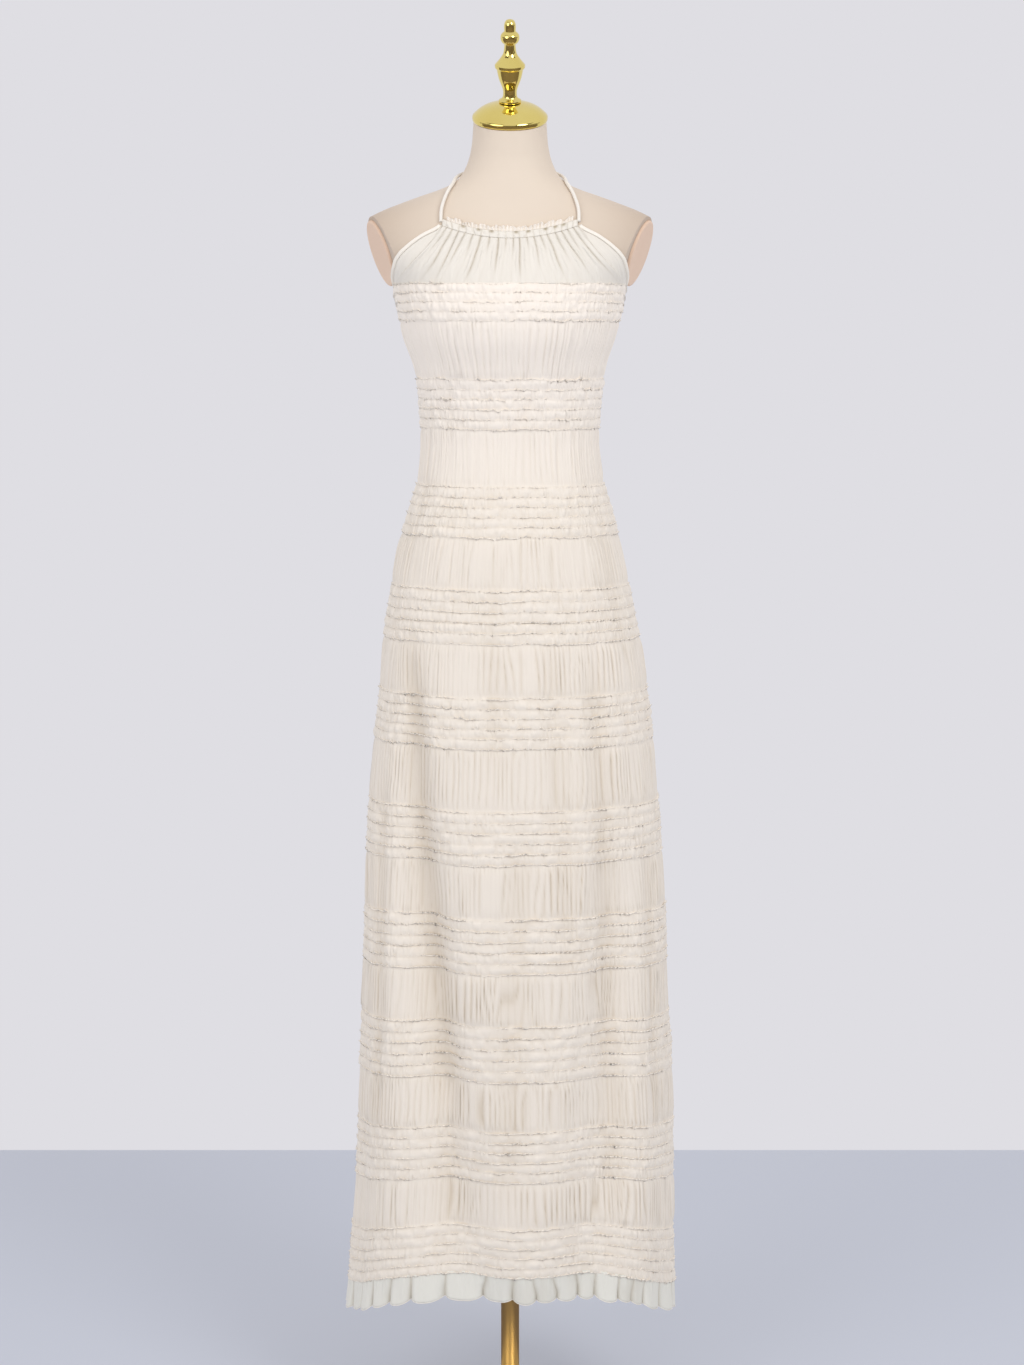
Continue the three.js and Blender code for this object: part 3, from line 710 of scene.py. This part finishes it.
# Waves a strip's free edge: it reads how far along a point is, how near the edge and which way is out
def layWaves(board, given):
    along, tip, row = (board.stored(name) for name in ("along", "tip", "row"))
    turns = along / given["Pitch"]

    def wander(rate, rowRate, start, detail):
        return board.noise(board.joined(turns * rate, row * rowRate + given["Seed"], start), 1.0, detail)

    loose, lively, mood = wander(0.45, 3.7, 0.0, 1.0), wander(0.8, 5.1, 9.0, 2.0), wander(0.11, 2.3, 5.0, 1.0)
    wave = (turns * (2 * math.pi) + loose * 14.0).worked("SINE")
    reach = (wave * 0.7 + (lively - 0.5) * 4.0) * (mood * 2.0) * given["Depth"] * tip
    rise = (wave * 0.5 + (lively - 0.5) * 5.0) * (mood * 2.0) * given["Lift"] * tip
    push = board.scaled(board.stored("outward", "FLOAT_VECTOR"), reach)
    up = board.joined(0.0, 0.0, rise)
    offset = board.node("ShaderNodeVectorMath", {0: push, 1: up}, operation="ADD")["Vector"]
    return board.moved(given["Geometry"], offset)


waves = {"Pitch": frill["pitch"] * mm, "Depth": frill["depth"] * mm, "Lift": frill["lift"] * mm, "Seed": 0.0}
waveTree = newTree("waveTheEdge", waves, frilled, layWaves)
frillPieces = {}
for panel, seed in (("front", 900), ("back", 1900)):
    for name, part, chosen in (("UpperFrills", "Bodice", bands[:5]), ("LowerFrills", "Skirt", bands[5:])):
        piece = frillLines(panel + name, panel, chosen, seed)
        piece = grown(piece, panel + name, waveTree, waves | {"Seed": seed * 0.1})
        declare(piece, panel + "_body")
        frillPieces[panel, part] = piece
        seed += 400
for key, (piece, size) in bodySheets.items():
    sewn = [frillPieces[key]] if key in frillPieces else []
print("stage: frilled lines made")


# Hem ruffles: broad flutes parted by narrow folds, at these degrees round from the panel's centre
hem = {"depth": 11.5, "columns": 640, "rows": 13, "top": 258, "wall": 0.6, "drop": 8.0, "cloth": 36,
       "front": (-90, -79, -66, -55, -45.4, -36.5, -22.5, -7.9, 1, 7.6, 14.4, 22.8, 30.1, 39.9, 46, 52,
                 66, 79, 90),
       "back": (-90, -77, -68, -54, -41, -33, -20, -11, 2, 9, 21, 35, 43, 57, 64, 77, 90)}


def hemRuffle(panel, seed):
    share = downRows(0, 1, hem["rows"] + 1)
    place = acrossRow(0, 1, hem["columns"] + 1)
    u, v = place * halfRound(dress["hem"]), share * hem["cloth"]
    edges = np.array(hem[panel], float)
    degrees = (place * 2 - 1) * 90 + 1.2 * drift(seed, u, v, 30, 30) * np.sin(place * math.pi)
    flute = np.clip(np.searchsorted(edges, degrees, side="right") - 1, 0, len(edges) - 2)
    s = np.clip((degrees - edges[flute]) / (edges[flute + 1] - edges[flute]), 0, 1)
    wide = (edges[flute + 1] - edges[flute]) / 12
    rng = np.random.default_rng(seed)
    tall, lean = rng.uniform(0.65, 1.15, 30)[flute], rng.uniform(-0.7, 0.7, 30)[flute]
    swell = (1 - np.abs(2 * s - 1) ** 5.5) * tall * (1 + lean * (s - 0.5)) * np.minimum(wide, 1.2)
    atSeam = np.sin(place * math.pi) ** 0.3
    small = 0.7 * drift(seed + 1, u, v, 11, 50) + 0.45 * drift(seed + 2, u, v, 5, 30)
    wave = share**1.1 * atSeam * (hem["depth"] * (swell - 0.62) + 1.2 * small)
    gathered = 1.3 * np.abs(drift(seed + 5, u, v, 4, 50)) * (1 - 0.75 * share)
    dip = hem["drop"] * tall * (1 - (2 * s - 1) ** 2) * np.minimum(wide, 1.5) - 1.5
    level = hem["top"] + (dress["hem"] - hem["top"]) * share - share**2 * dip * atSeam
    reach = 1.6 + wave + gathered
    outer, inner = (clothPoint(panel, place, level, reach - wall) for wall in (0, hem["wall"]))
    # Painted shade in the narrow folds between the flutes
    paintedLight = 1.25 * (swell / tall) ** 0.6 - 0.1 + 0.2 * gathered
    made = shell(panel + "Hem", outer, inner, hemmed, (u, level), paintedLight)
    return made, (outer[-1] + inner[-1]) / 2


hemPieces = {"front": hemRuffle("front", 31), "back": hemRuffle("back", 41)}
for panel, (piece, line) in hemPieces.items():
    declare(piece, "hem_ruffle_" + panel)
print("stage: hem ruffles made")


# Yoke and neckline
yoke = {"foot": 1557.5, "top": 1614.5, "rise": 16, "ease": 1.8, "height": 3.4, "columns": 300, "rows": 36,
        "cloth": (100, 57)}
# The yoke's creases, as shares of its half width at its top and foot, and how far down each runs
yokeCreases = {
    "top": (-1, -0.93, -0.85, -0.75, -0.65, -0.53, -0.42, -0.3, -0.17, -0.06, 0.05, 0.14, 0.24, 0.34,
            0.44, 0.54, 0.66, 0.755, 0.84, 0.92, 1),
    "foot": (-1, -0.92, -0.77, -0.64, -0.6, -0.47, -0.39, -0.26, -0.135, -0.07, 0.02, 0.1, 0.21, 0.3,
             0.4, 0.49, 0.61, 0.73, 0.8, 0.94, 1),
    "run": (1, 0.5, 0.9, 0.95, 0.7, 0.5, 1, 0.45, 0.85, 0.4, 0.5, 0.95, 0.4, 0.7, 0.45, 0.9, 0.6,
            0.85, 0.5, 0.9, 1),
}
neckline = {"half": 85.5, "gap": 0.3, "casing": 8.5, "heading": 6.4, "headingHalf": 79.5, "waves": 34,
            "pits": (-0.69, -0.46, -0.27, 0.09, 0.27, 0.52, 0.67, 0.79), "pitWidth": 2.7, "pitDepth": 3.6,
            "pitShare": 0.86, "pitTall": 0.22}


def yokeHalf(share):
    z = lerp(yoke["foot"], yoke["top"] + yoke["rise"], share)
    return formPoint(np.radians(armholeCurve(z)), z)[..., 0]


def yokePoint(turn, share, out):
    height = lerp(yoke["foot"], yoke["top"] + yoke["rise"] * turn**2, share)
    return chestPoint(turn * yokeHalf(share), height, yoke["ease"] + out)


def necklinePoint(half, foot, height, turn, share, out):
    turn = turn * half / neckline["half"]
    z = yoke["top"] + foot + yoke["rise"] * turn**2 + share * height
    return chestPoint(turn * neckline["half"], z, yoke["ease"] + out)


# Arches of cloth between the yoke's creases, and how deep in a crease a place lies
def yokeArches(turn, share):
    top, foot, run = (np.array(yokeCreases[key], float) for key in ("top", "foot", "run"))
    ends, half = yokeHalf(np.array([0.0, 1.0])), yokeHalf(share)
    edges = [lerp(foot[k] * ends[0], top[k] * ends[1], share) / half for k in range(len(top))]
    puff, valley = 0, 0
    for k, (left, right) in enumerate(zip(edges[:-1], edges[1:])):
        s = (turn - left) / (right - left)
        deep = np.where(s < 0.5, run[k], run[k + 1])
        reach = ease(share, 0.98 - deep, 1.4 - deep)
        arch = (1 - np.abs(np.clip(2 * s - 1, -1, 1)) ** 4.5) ** 0.8
        here = (s >= 0) & (s <= 1)
        puff = np.where(here, (0.25 + 0.75 * reach) * lerp(1.0, arch, 0.25 + 0.75 * reach), puff)
        valley = np.where(here, (0.15 + 0.85 * reach) * (1 - arch) * (0.4 + 0.6 * deep), valley)
    return puff, valley


def frontYoke():
    share = downRows(1, 0, yoke["rows"] + 1)
    turn = acrossRow(-1, 1, yoke["columns"] + 1)
    u, v = turn * yoke["cloth"][0], share * yoke["cloth"][1]
    puff, valley = yokeArches(turn + 0.012 * drift(61, u, v, 16, 24), share)
    fine = np.abs(drift(63, u, v, 2.4, 34)) ** 0.8
    broad = 0.5 + 0.5 * drift(64, u, v, 14, 40)
    puff = yoke["height"] * puff * (0.5 + 0.5 * share) * (0.75 + 0.3 * broad) + 0.6 * fine
    puff = puff * (1 - 0.12 * ease(share, 0.93, 1)) * (1 - 0.5 * ease(1 - share, 0.92, 1))
    outer = yokePoint(turn, share, 0.9 + puff * (1 - ease(np.abs(turn), 0.97, 1)))
    inner = yokePoint(acrossRow(-1, 1, 81), downRows(1, 0, 13), 0.1)
    # Painted shade in the valleys of the yoke's creases
    return shell("frontYoke", outer, inner, drawnUp, (u, v), 0.92 - 0.8 * valley + 0.08 * fine)


# Dimples where the gathers are drawn tight under the heading: 1 in a dimple and 0 away from it
def dimples(u, share):
    total = 0
    for place in neckline["pits"]:
        aside = ((u - place * neckline["half"]) / neckline["pitWidth"]) ** 2
        total = total + np.exp(-aside - ((share - neckline["pitShare"]) / neckline["pitTall"]) ** 2)
    return np.clip(total, 0, 1)


def neckCasing():
    share, turn = downRows(1, 0, 13), acrossRow(-1, 1, 321)
    u = turn * neckline["half"]
    arches, valley = yokeArches(turn + 0.01 * drift(73, u, share * 8, 8, 6), np.ones_like(share))
    pinched = np.abs(drift(71, u, share * 8, 3.6, 30)) ** 0.6
    foot = lerp(0.8, 1.0, ease(share, 0, 0.5))
    rounded = np.where(share < 0.5, foot, np.sin(np.clip(share, 0.02, 0.98) * math.pi) ** 0.4)
    wrinkled = drift(72, u, share * 8, 2.6, 4) + 0.8 * drift(74, u, share * 8, 7, 6)
    puff = (0.9 + 1.6 * arches + 1.1 * pinched + wrinkled) * rounded
    puff = np.maximum(puff - neckline["pitDepth"] * dimples(u, share), -0.6)
    size = neckline["half"], neckline["gap"], neckline["casing"]
    outer = necklinePoint(*size, turn, share, 0.9 + puff * (1 - ease(np.abs(turn), 0.97, 1)))
    inner = necklinePoint(*size, acrossRow(-1, 1, 81), downRows(1, 0, 3), 0.1)
    # Painted shade in the creases' valleys, and deeper in the dimples
    paintedLight = 1 - 0.35 * valley - 1.1 * dimples(u, share)
    return shell("neckCasing", outer, inner, drawnUp, (u, share * 9), paintedLight)


def neckHeading():
    share, turn = downRows(1, 0, 9), acrossRow(-1, 1, 381)
    u = turn * neckline["headingHalf"]
    swing = np.sin(turn * neckline["waves"] * math.pi + 3.2 * drift(81, u, 0, 16, 1))
    wave = 2.0 * (1 + swing) * (0.8 + 0.6 * drift(84, u, 0, 22, 1)) + 1.3 * drift(82, u, share * 6, 3.0, 6)
    tall = neckline["heading"] + 2.2 * drift(83, u, 0, 7, 1) + 1.0 * drift(85, u, 0, 2.4, 1)
    tall = tall - 2.4 * dimples(u, neckline["pitShare"])
    size = neckline["headingHalf"], neckline["casing"] + 0.4, tall
    waved = share * np.maximum(wave, 0)
    outer, inner = (necklinePoint(*size, turn, share, out + waved) for out in (0.8, 0.1))
    # Painted shade where the heading's edge waves in
    return shell("neckHeading", outer, inner, frilled, (u, share * 7), 0.3 + 0.3 * wave)


casing, heading, yokePiece = neckCasing(), neckHeading(), frontYoke()
declare(yokePiece, "front_yoke")
declare(casing, "neck_casing")
declare(heading, "neck_frill")
print("stage: yoke and neckline made")


# Binding of the armholes and the back. Across, as a share of its width, and out give its section
binding = {"width": 5.0, "gap": 0.48, "foot": 1559.3, "yokeSteps": 44, "backSteps": 150, "step": 1.6,
           "across": (0.0, 0.0, 0.12, 0.5, 0.88, 1.0, 1.0, 0.5), "pucker": 0.14,
           "out": (0.1, 0.9, 1.5, 1.8, 1.5, 0.9, 0.1, 0.05), "stitchOut": 1.75, "stitchIn": 0.85}


def bindingRoute():
    z = np.linspace(yoke["top"] + yoke["rise"], binding["foot"], binding["yokeSteps"])
    down = np.stack((np.radians(armholeCurve(z)), z), axis=-1)
    angle = np.linspace(side, 3 * side, binding["backSteps"])
    back = np.stack((angle, np.full_like(angle, armhole["z"][0])), axis=-1)
    up = np.stack((2 * math.pi - down[::-1, 0], down[::-1, 1]), axis=-1)
    return np.concatenate((down, back, up))


# A route's points at even steps over the form, and how far along each lies
def evenly(route, step):
    points = formPoint(route[:, 0], route[:, 1])
    run = np.concatenate(([0], np.cumsum(np.linalg.norm(np.diff(points, axis=0), axis=1))))
    places = np.linspace(0, run[-1], round(run[-1] / step) + 1)
    return np.stack([np.interp(places, run, column) for column in route.T]), places


def edgeBinding():
    (angle, z), run = evenly(bindingRoute(), binding["step"])
    along = np.gradient(formPoint(angle, z), axis=0)
    beside = np.cross(formFacing(angle, z), along)
    beside /= np.linalg.norm(beside, axis=-1, keepdims=True)
    loops = []
    for across, out in zip(binding["across"], binding["out"]):
        puckered = binding["pucker"] * drift(91, run, 0, 2.6, 1) * (out > 1)
        spot = formPoint(angle, z, yoke["ease"] + out + puckered)
        loops.append(spot + beside * (binding["gap"] + across * binding["width"]))
    loop = np.stack(loops)
    faces = loopFaces(gridIndex(*loop.shape[:2]))
    obj = newMesh("edgeBinding", loop.reshape(-1, 3), faces, trimmed)
    storeValues(obj, "paintedLight", np.full(loop.shape[0] * loop.shape[1], 0.9))
    seam = formPoint(angle, z, yoke["ease"] + binding["stitchOut"])
    return obj, seam + beside * (binding["gap"] + binding["stitchIn"]), run[-1]


bindingPiece, bindingSeam, bindingLength = edgeBinding()
declare(bindingPiece, "edge_binding")
print("stage: binding made, mm", round(bindingLength))


# Strap: a narrow cloth tube that follows its route over the form
strap = {"z": (1634.5, 1650, 1663, 1676, 1684, 1690, 1698, 1704, 1707, 1708),
         "angle": (24.9, 28.6, 35, 48, 62, 78, 102, 128, 155, 180), "ease": 0.9, "radius": 2.2}
strapTube = {"Radius": strap["radius"] * mm, "Step": 1.5 * mm, "Lumps": 0.16 * mm, "Sides": 12}
rolledEdge = {"Radius": 0.6 * mm, "Step": 1.5 * mm, "Lumps": 0.15 * mm, "Sides": 6}


def strapRoute():
    angle, z = np.radians(strap["angle"]), np.array(strap["z"], float)
    half = formPoint(angle, z) + formFacing(angle, z) * (strap["ease"] + strap["radius"])
    return np.concatenate((half, (half * (-1, 1, 1))[-2::-1]))


# Makes a slightly lumpy tube along a curve
def layTube(board, given):
    line = board.node("GeometryNodeResampleCurve", {"Curve": given["Geometry"], "Length": given["Step"]},
                      mode="LENGTH")["Curve"]
    ring = board.node("GeometryNodeCurvePrimitiveCircle",
                      {"Resolution": given["Sides"], "Radius": given["Radius"]}, mode="RADIUS")["Curve"]
    section = {"Curve": line, "Profile Curve": ring, "Fill Caps": True}
    tube = board.node("GeometryNodeCurveToMesh", section)["Mesh"]
    loose = board.noise(board.node("GeometryNodeInputPosition")["Position"], 240.0, 1.0)
    facing = board.node("GeometryNodeInputNormal")["Normal"]
    return board.moved(tube, board.scaled(facing, (loose - 0.5) * 2.0 * given["Lumps"]))


tubeTree = newTree("roundTube", strapTube, strapCloth, layTube)
strapLine = newCurve("strapLine", strapRoute(), smooth=True)
declare(grown(strapLine, "halterStrap", tubeTree, strapTube), "halter_strap")


# A narrow rolled edge along the foot of each hem ruffle
hemEdges = {}
for panel, (piece, line) in hemPieces.items():
    name = panel + "HemEdge"
    hemEdges[panel] = grown(newCurve(name + "Line", line), name, tubeTree, rolledEdge)
    declare(hemEdges[panel], "hem_ruffle_" + panel)


# Stitches along a line, each a short rounded bead of thread
stitch = {"Pitch": 3.1 * mm, "Length": 1.0 * mm, "Thickness": 0.26 * mm}


def layStitches(board, given):
    spots = board.node("GeometryNodeCurveToPoints", {"Curve": given["Geometry"], "Length": given["Pitch"]},
                       mode="LENGTH")
    bead = board.node("GeometryNodeMeshUVSphere", {"Segments": 6, "Rings": 5, "Radius": 1.0})["Mesh"]
    size = board.joined(given["Thickness"], given["Thickness"], given["Length"])
    laid = {"Points": spots["Points"], "Instance": bead, "Rotation": spots["Rotation"], "Scale": size}
    return board.node("GeometryNodeInstanceOnPoints", laid)["Instances"]


stitchTree = newTree("stitchRow", stitch, thread, layStitches)
casingSeam = necklinePoint(neckline["half"], 0, neckline["casing"], np.linspace(-1, 1, 150), 0.04, 2.5)
for name, line, node in (("bindingStitches", bindingSeam, "edge_binding"),
                         ("casingStitches", casingSeam, "neck_casing")):
    piece = grown(newCurve(name + "Line", line), name, stitchTree, stitch)
    declare(piece, node)
for panel, (piece, line) in hemPieces.items():
    size = (halfRound(dress["hem"]) * fullness["hem"] * mm, 0.04)
    panel + "_body"
    hemEdges[panel]
size = (0.235 * fullness["body"], 0.066)
print("stage: strap, rolled edges and stitches made")


# Dress form: its sections, cut off at the neck and at both arms
form = {"columns": 128, "rowStep": 5.5, "neckTop": (0, -9, 1766), "neckLean": math.radians(20), "sharp": 28,
        "armCentre": (166, 0, 1599), "armFacing": (1, -0.26, -0.35), "gap": 0.3}


def mirrored(spot, sign):
    return Vector((sign * spot[0], spot[1], spot[2]))


def dressForm():
    heights = np.arange(formSections["z"][-1], formSections["z"][0] + 0.1, form["rowStep"])
    angle = np.linspace(0, 2 * math.pi, form["columns"], endpoint=False)
    rings = formPoint(angle[None, :], heights[:, None])
    obj = newMesh("dressForm", rings.reshape(-1, 3), ringFaces(*rings.shape[:2]), formCover)
    lean = form["neckLean"]
    cuts = [(Vector(form["neckTop"]), Vector((0, -math.sin(lean), math.cos(lean))))]
    cuts += [(mirrored(form["armCentre"], sign), mirrored(form["armFacing"], sign)) for sign in (1, -1)]
    work = opened(obj)
    for spot, facing in cuts:
        everything = work.verts[:] + work.edges[:] + work.faces[:]
        cut = bmesh.ops.bisect_plane(work, geom=everything, plane_co=spot * mm,
                                     plane_no=facing.normalized(), clear_outer=True)
        rim = [item for item in cut["geom_cut"] if isinstance(item, bmesh.types.BMEdge)]
        bmesh.ops.edgeloop_fill(work, edges=rim)
    bmesh.ops.recalc_face_normals(work, faces=work.faces[:])
    return closed(work, obj, form["sharp"])


declare(dressForm(), "torso_form")


# Turned pieces: a half profile of radius and height is spun round its axis
def turned(name, profile, material, place=Matrix.Identity(4), segments=96, sharp=34):
    angle = np.linspace(0, 2 * math.pi, segments, endpoint=False)
    body = [spot for spot in profile if spot[0] > 0]
    points = [tuple(place @ Vector((radius * math.cos(turn), radius * math.sin(turn), height)))
              for radius, height in body for turn in angle]
    obj = newMesh(name, points, ringFaces(len(body), segments), material)
    return closed(opened(obj), obj, sharp)


# The points after the first of a smooth curve through a profile's points
def eased(*profile, steps=5):
    points = np.array(profile, float)
    ends = np.concatenate((points[:1], points, points[-1:]))
    made = []
    for a, b, c, d in zip(ends, ends[1:], ends[2:], ends[3:]):
        for t in np.linspace(0, 1, steps + 1)[1:]:
            bend = (2 * a - 5 * b + 4 * c - d) * t**2 + (3 * b - a - 3 * c + d) * t**3
            made.append(0.5 * (2 * b + (c - a) * t + bend))
    return np.maximum(made, (0, -math.inf)).tolist()


capProfile = [(0, 0), (46.6, 0), (47.6, 0.4), (48.4, 1.6), (48.6, 3), (48.6, 5.4), (48.0, 7.2),
              (46.4, 8.8), *eased((46.4, 8.8), (39, 15), (29, 20), (14, 23.6), (0, 24))]
finialProfile = [(0, 0), (14.2, 0), (14.5, 0.6), (14.5, 2.4), (13.6, 3.2),
                 *eased((13.6, 3.2), (9.8, 6), (8.8, 12), (9.8, 18), (14.4, 30), (17, 42)),
                 (18.6, 43.2), (19.4, 44.6), (19.4, 47.4), (18.4, 48.8),
                 *eased((18.4, 48.8), (13.2, 55), (8.7, 62), (7.2, 71), (7.6, 73.6)),
                 *eased((7.6, 73.6), (10.8, 76.8), (12.1, 81.5), (11, 86.2), (7.2, 89.8)),
                 *eased((7.2, 89.8), (7.5, 95), (7.0, 99.6), (4.6, 103.6), (0, 105))]
poleProfile = [(0, 16.3), (12.2, 16.3), (12.5, 16.8), (12.5, 1011.2), (12.2, 1011.7), (0, 1011.7)]
baseProfile = [(0, 0), (127.2, 0), (128.6, 0.4), (129.7, 1.6), (130, 3), (130, 6), (129.3, 8),
               (127.4, 9.6), *eased((127.4, 9.6), (120, 10.3), (70, 11.6), (30, 12.6), (24, 13.4),
                                    (20.6, 15.2)), (19.6, 16), (0, 16)]
neck = Matrix.Translation(Vector(form["neckTop"])) @ Matrix.Rotation(form["neckLean"], 4, "X")
capPlace = neck @ Matrix.Translation((0, 0, form["gap"]))
finialPlace = neck @ Matrix.Translation((0, 0, capProfile[-1][1] + 2 * form["gap"]))
declare(turned("neckCap", capProfile, polished, capPlace), "neck_cap")
declare(turned("finialKnob", finialProfile, polished, finialPlace), "finial")
declare(turned("standPole", poleProfile, satin), "pole")
declare(turned("standBase", baseProfile, satin, segments=128), "base_plate")


# Arm plates: an oval disc with a rounded rim, square to the arm's cut, as shares of its half sizes
plate = {"half": (48, 44, 4), "profile": ((1.0, 0.0), (1.0, 0.55), (0.985, 0.8), (0.955, 0.93), (0.92, 0.97),
                                          (0.88, 0.93), (0.6, 0.94), (0.3, 0.95))}
for name, node, sign in (("armPlateLeft", "arm_plate_left", -1), ("armPlateRight", "arm_plate_right", 1)):
    facing = mirrored(form["armFacing"], sign).normalized()
    up = (Vector((0, 0, 1)) - facing * facing.z).normalized()
    seat = mirrored(form["armCentre"], sign) + facing * form["gap"]
    turn = Matrix((up.cross(facing), up, facing)).transposed().to_4x4()
    place = Matrix.Translation(seat) @ turn @ Matrix.Diagonal((*plate["half"], 1))
    declare(turned(name, plate["profile"], armCover, place, sharp=40), node)
print("stage: form and stand made")


# Stage: a pale floor whose far edge makes the line behind the stand
floorCorners = [(-30, -40, 0), (30, -40, 0), (30, 1.115, 0), (-30, 1.115, 0)]
floorMesh = bpy.data.meshes.new("floor")
floorMesh.from_pydata(floorCorners, [], [(0, 1, 2, 3)])
floorMesh.materials.append(paleFloor)
newObject("floor", floorMesh)

# A pale room, with dark upright strips and a low dark strip behind the camera that only the metal
# mirrors. Each strip has its middle and its half width, as parts of the direction
room = {"tone": colour(223, 222, 227), "dark": colour(58, 40, 22), "darkShare": 0.92, "behind": 0.2,
        "upright": (0.55, 0.25), "uprightHeight": (0.0, 0.58), "low": (0.06, 0.07)}
world = bpy.data.worlds.new("paleRoom")
world.use_nodes = True
background = world.node_tree.nodes["Background"]
background.inputs["Strength"].default_value = 1.0
board = Board(world.node_tree)
way = board.parts(board.node("ShaderNodeTexCoord")["Generated"])
upright = (way["X"].worked("ABSOLUTE").worked("COMPARE", *room["upright"])
           * way["Z"].worked("COMPARE", *room["uprightHeight"]))
strips = upright.worked("MAXIMUM", way["Z"].worked("COMPARE", *room["low"]))
strips = strips * way["Y"].worked("LESS_THAN", room["behind"])
strips = strips * board.node("ShaderNodeLightPath")["Is Glossy Ray"]
roomColour = board.blend(strips * room["darkShare"], room["tone"], room["dark"])
world.node_tree.links.new(roomColour.socket, background.inputs["Color"])
bpy.context.scene.world = world

lamps = {
    # Place in metres, size across and power in watts
    "keyLight": ((1.9, -2.6, 2.9), 1.8, 42),
    "fillLight": ((-1.9, -2.4, 2.1), 2.2, 27),
    "backLight": ((0.6, 3.4, 3.2), 2.6, 26),
}
lampAim = Vector((0, 0, 1.0))
for name, (place, size, power) in lamps.items():
    data = bpy.data.lights.new(name, "AREA")
    data.shape, data.size, data.energy = "DISK", size, power
    lamp = newObject(name, data)
    lamp.location = place
    lamp.visible_glossy = name != "backLight"
    lamp.rotation_euler = (lampAim - Vector(place)).to_track_quat("-Z", "Y").to_euler()

view = {"place": (0.0026, -3.2, 1.5), "down": 8.264, "sensor": 36, "lens": 36 * 2427 / 1365}
cameraData = bpy.data.cameras.new("camera")
cameraData.lens, cameraData.sensor_width = view["lens"], view["sensor"]
camera = newObject("camera", cameraData)
camera.location = view["place"]
camera.rotation_euler = (math.radians(90 - view["down"]), 0, 0)
bpy.context.scene.camera = camera
bpy.context.scene.view_settings.view_transform = "Standard"
print("stage: light and camera set")

triangles = {o.name: sum(len(p.vertices) - 2 for p in o.data.polygons) for o in bpy.data.objects
             if o.type == "MESH" and o.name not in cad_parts}
print("stage: triangles", sum(triangles.values()), max(triangles.items(), key=lambda item: item[1]))
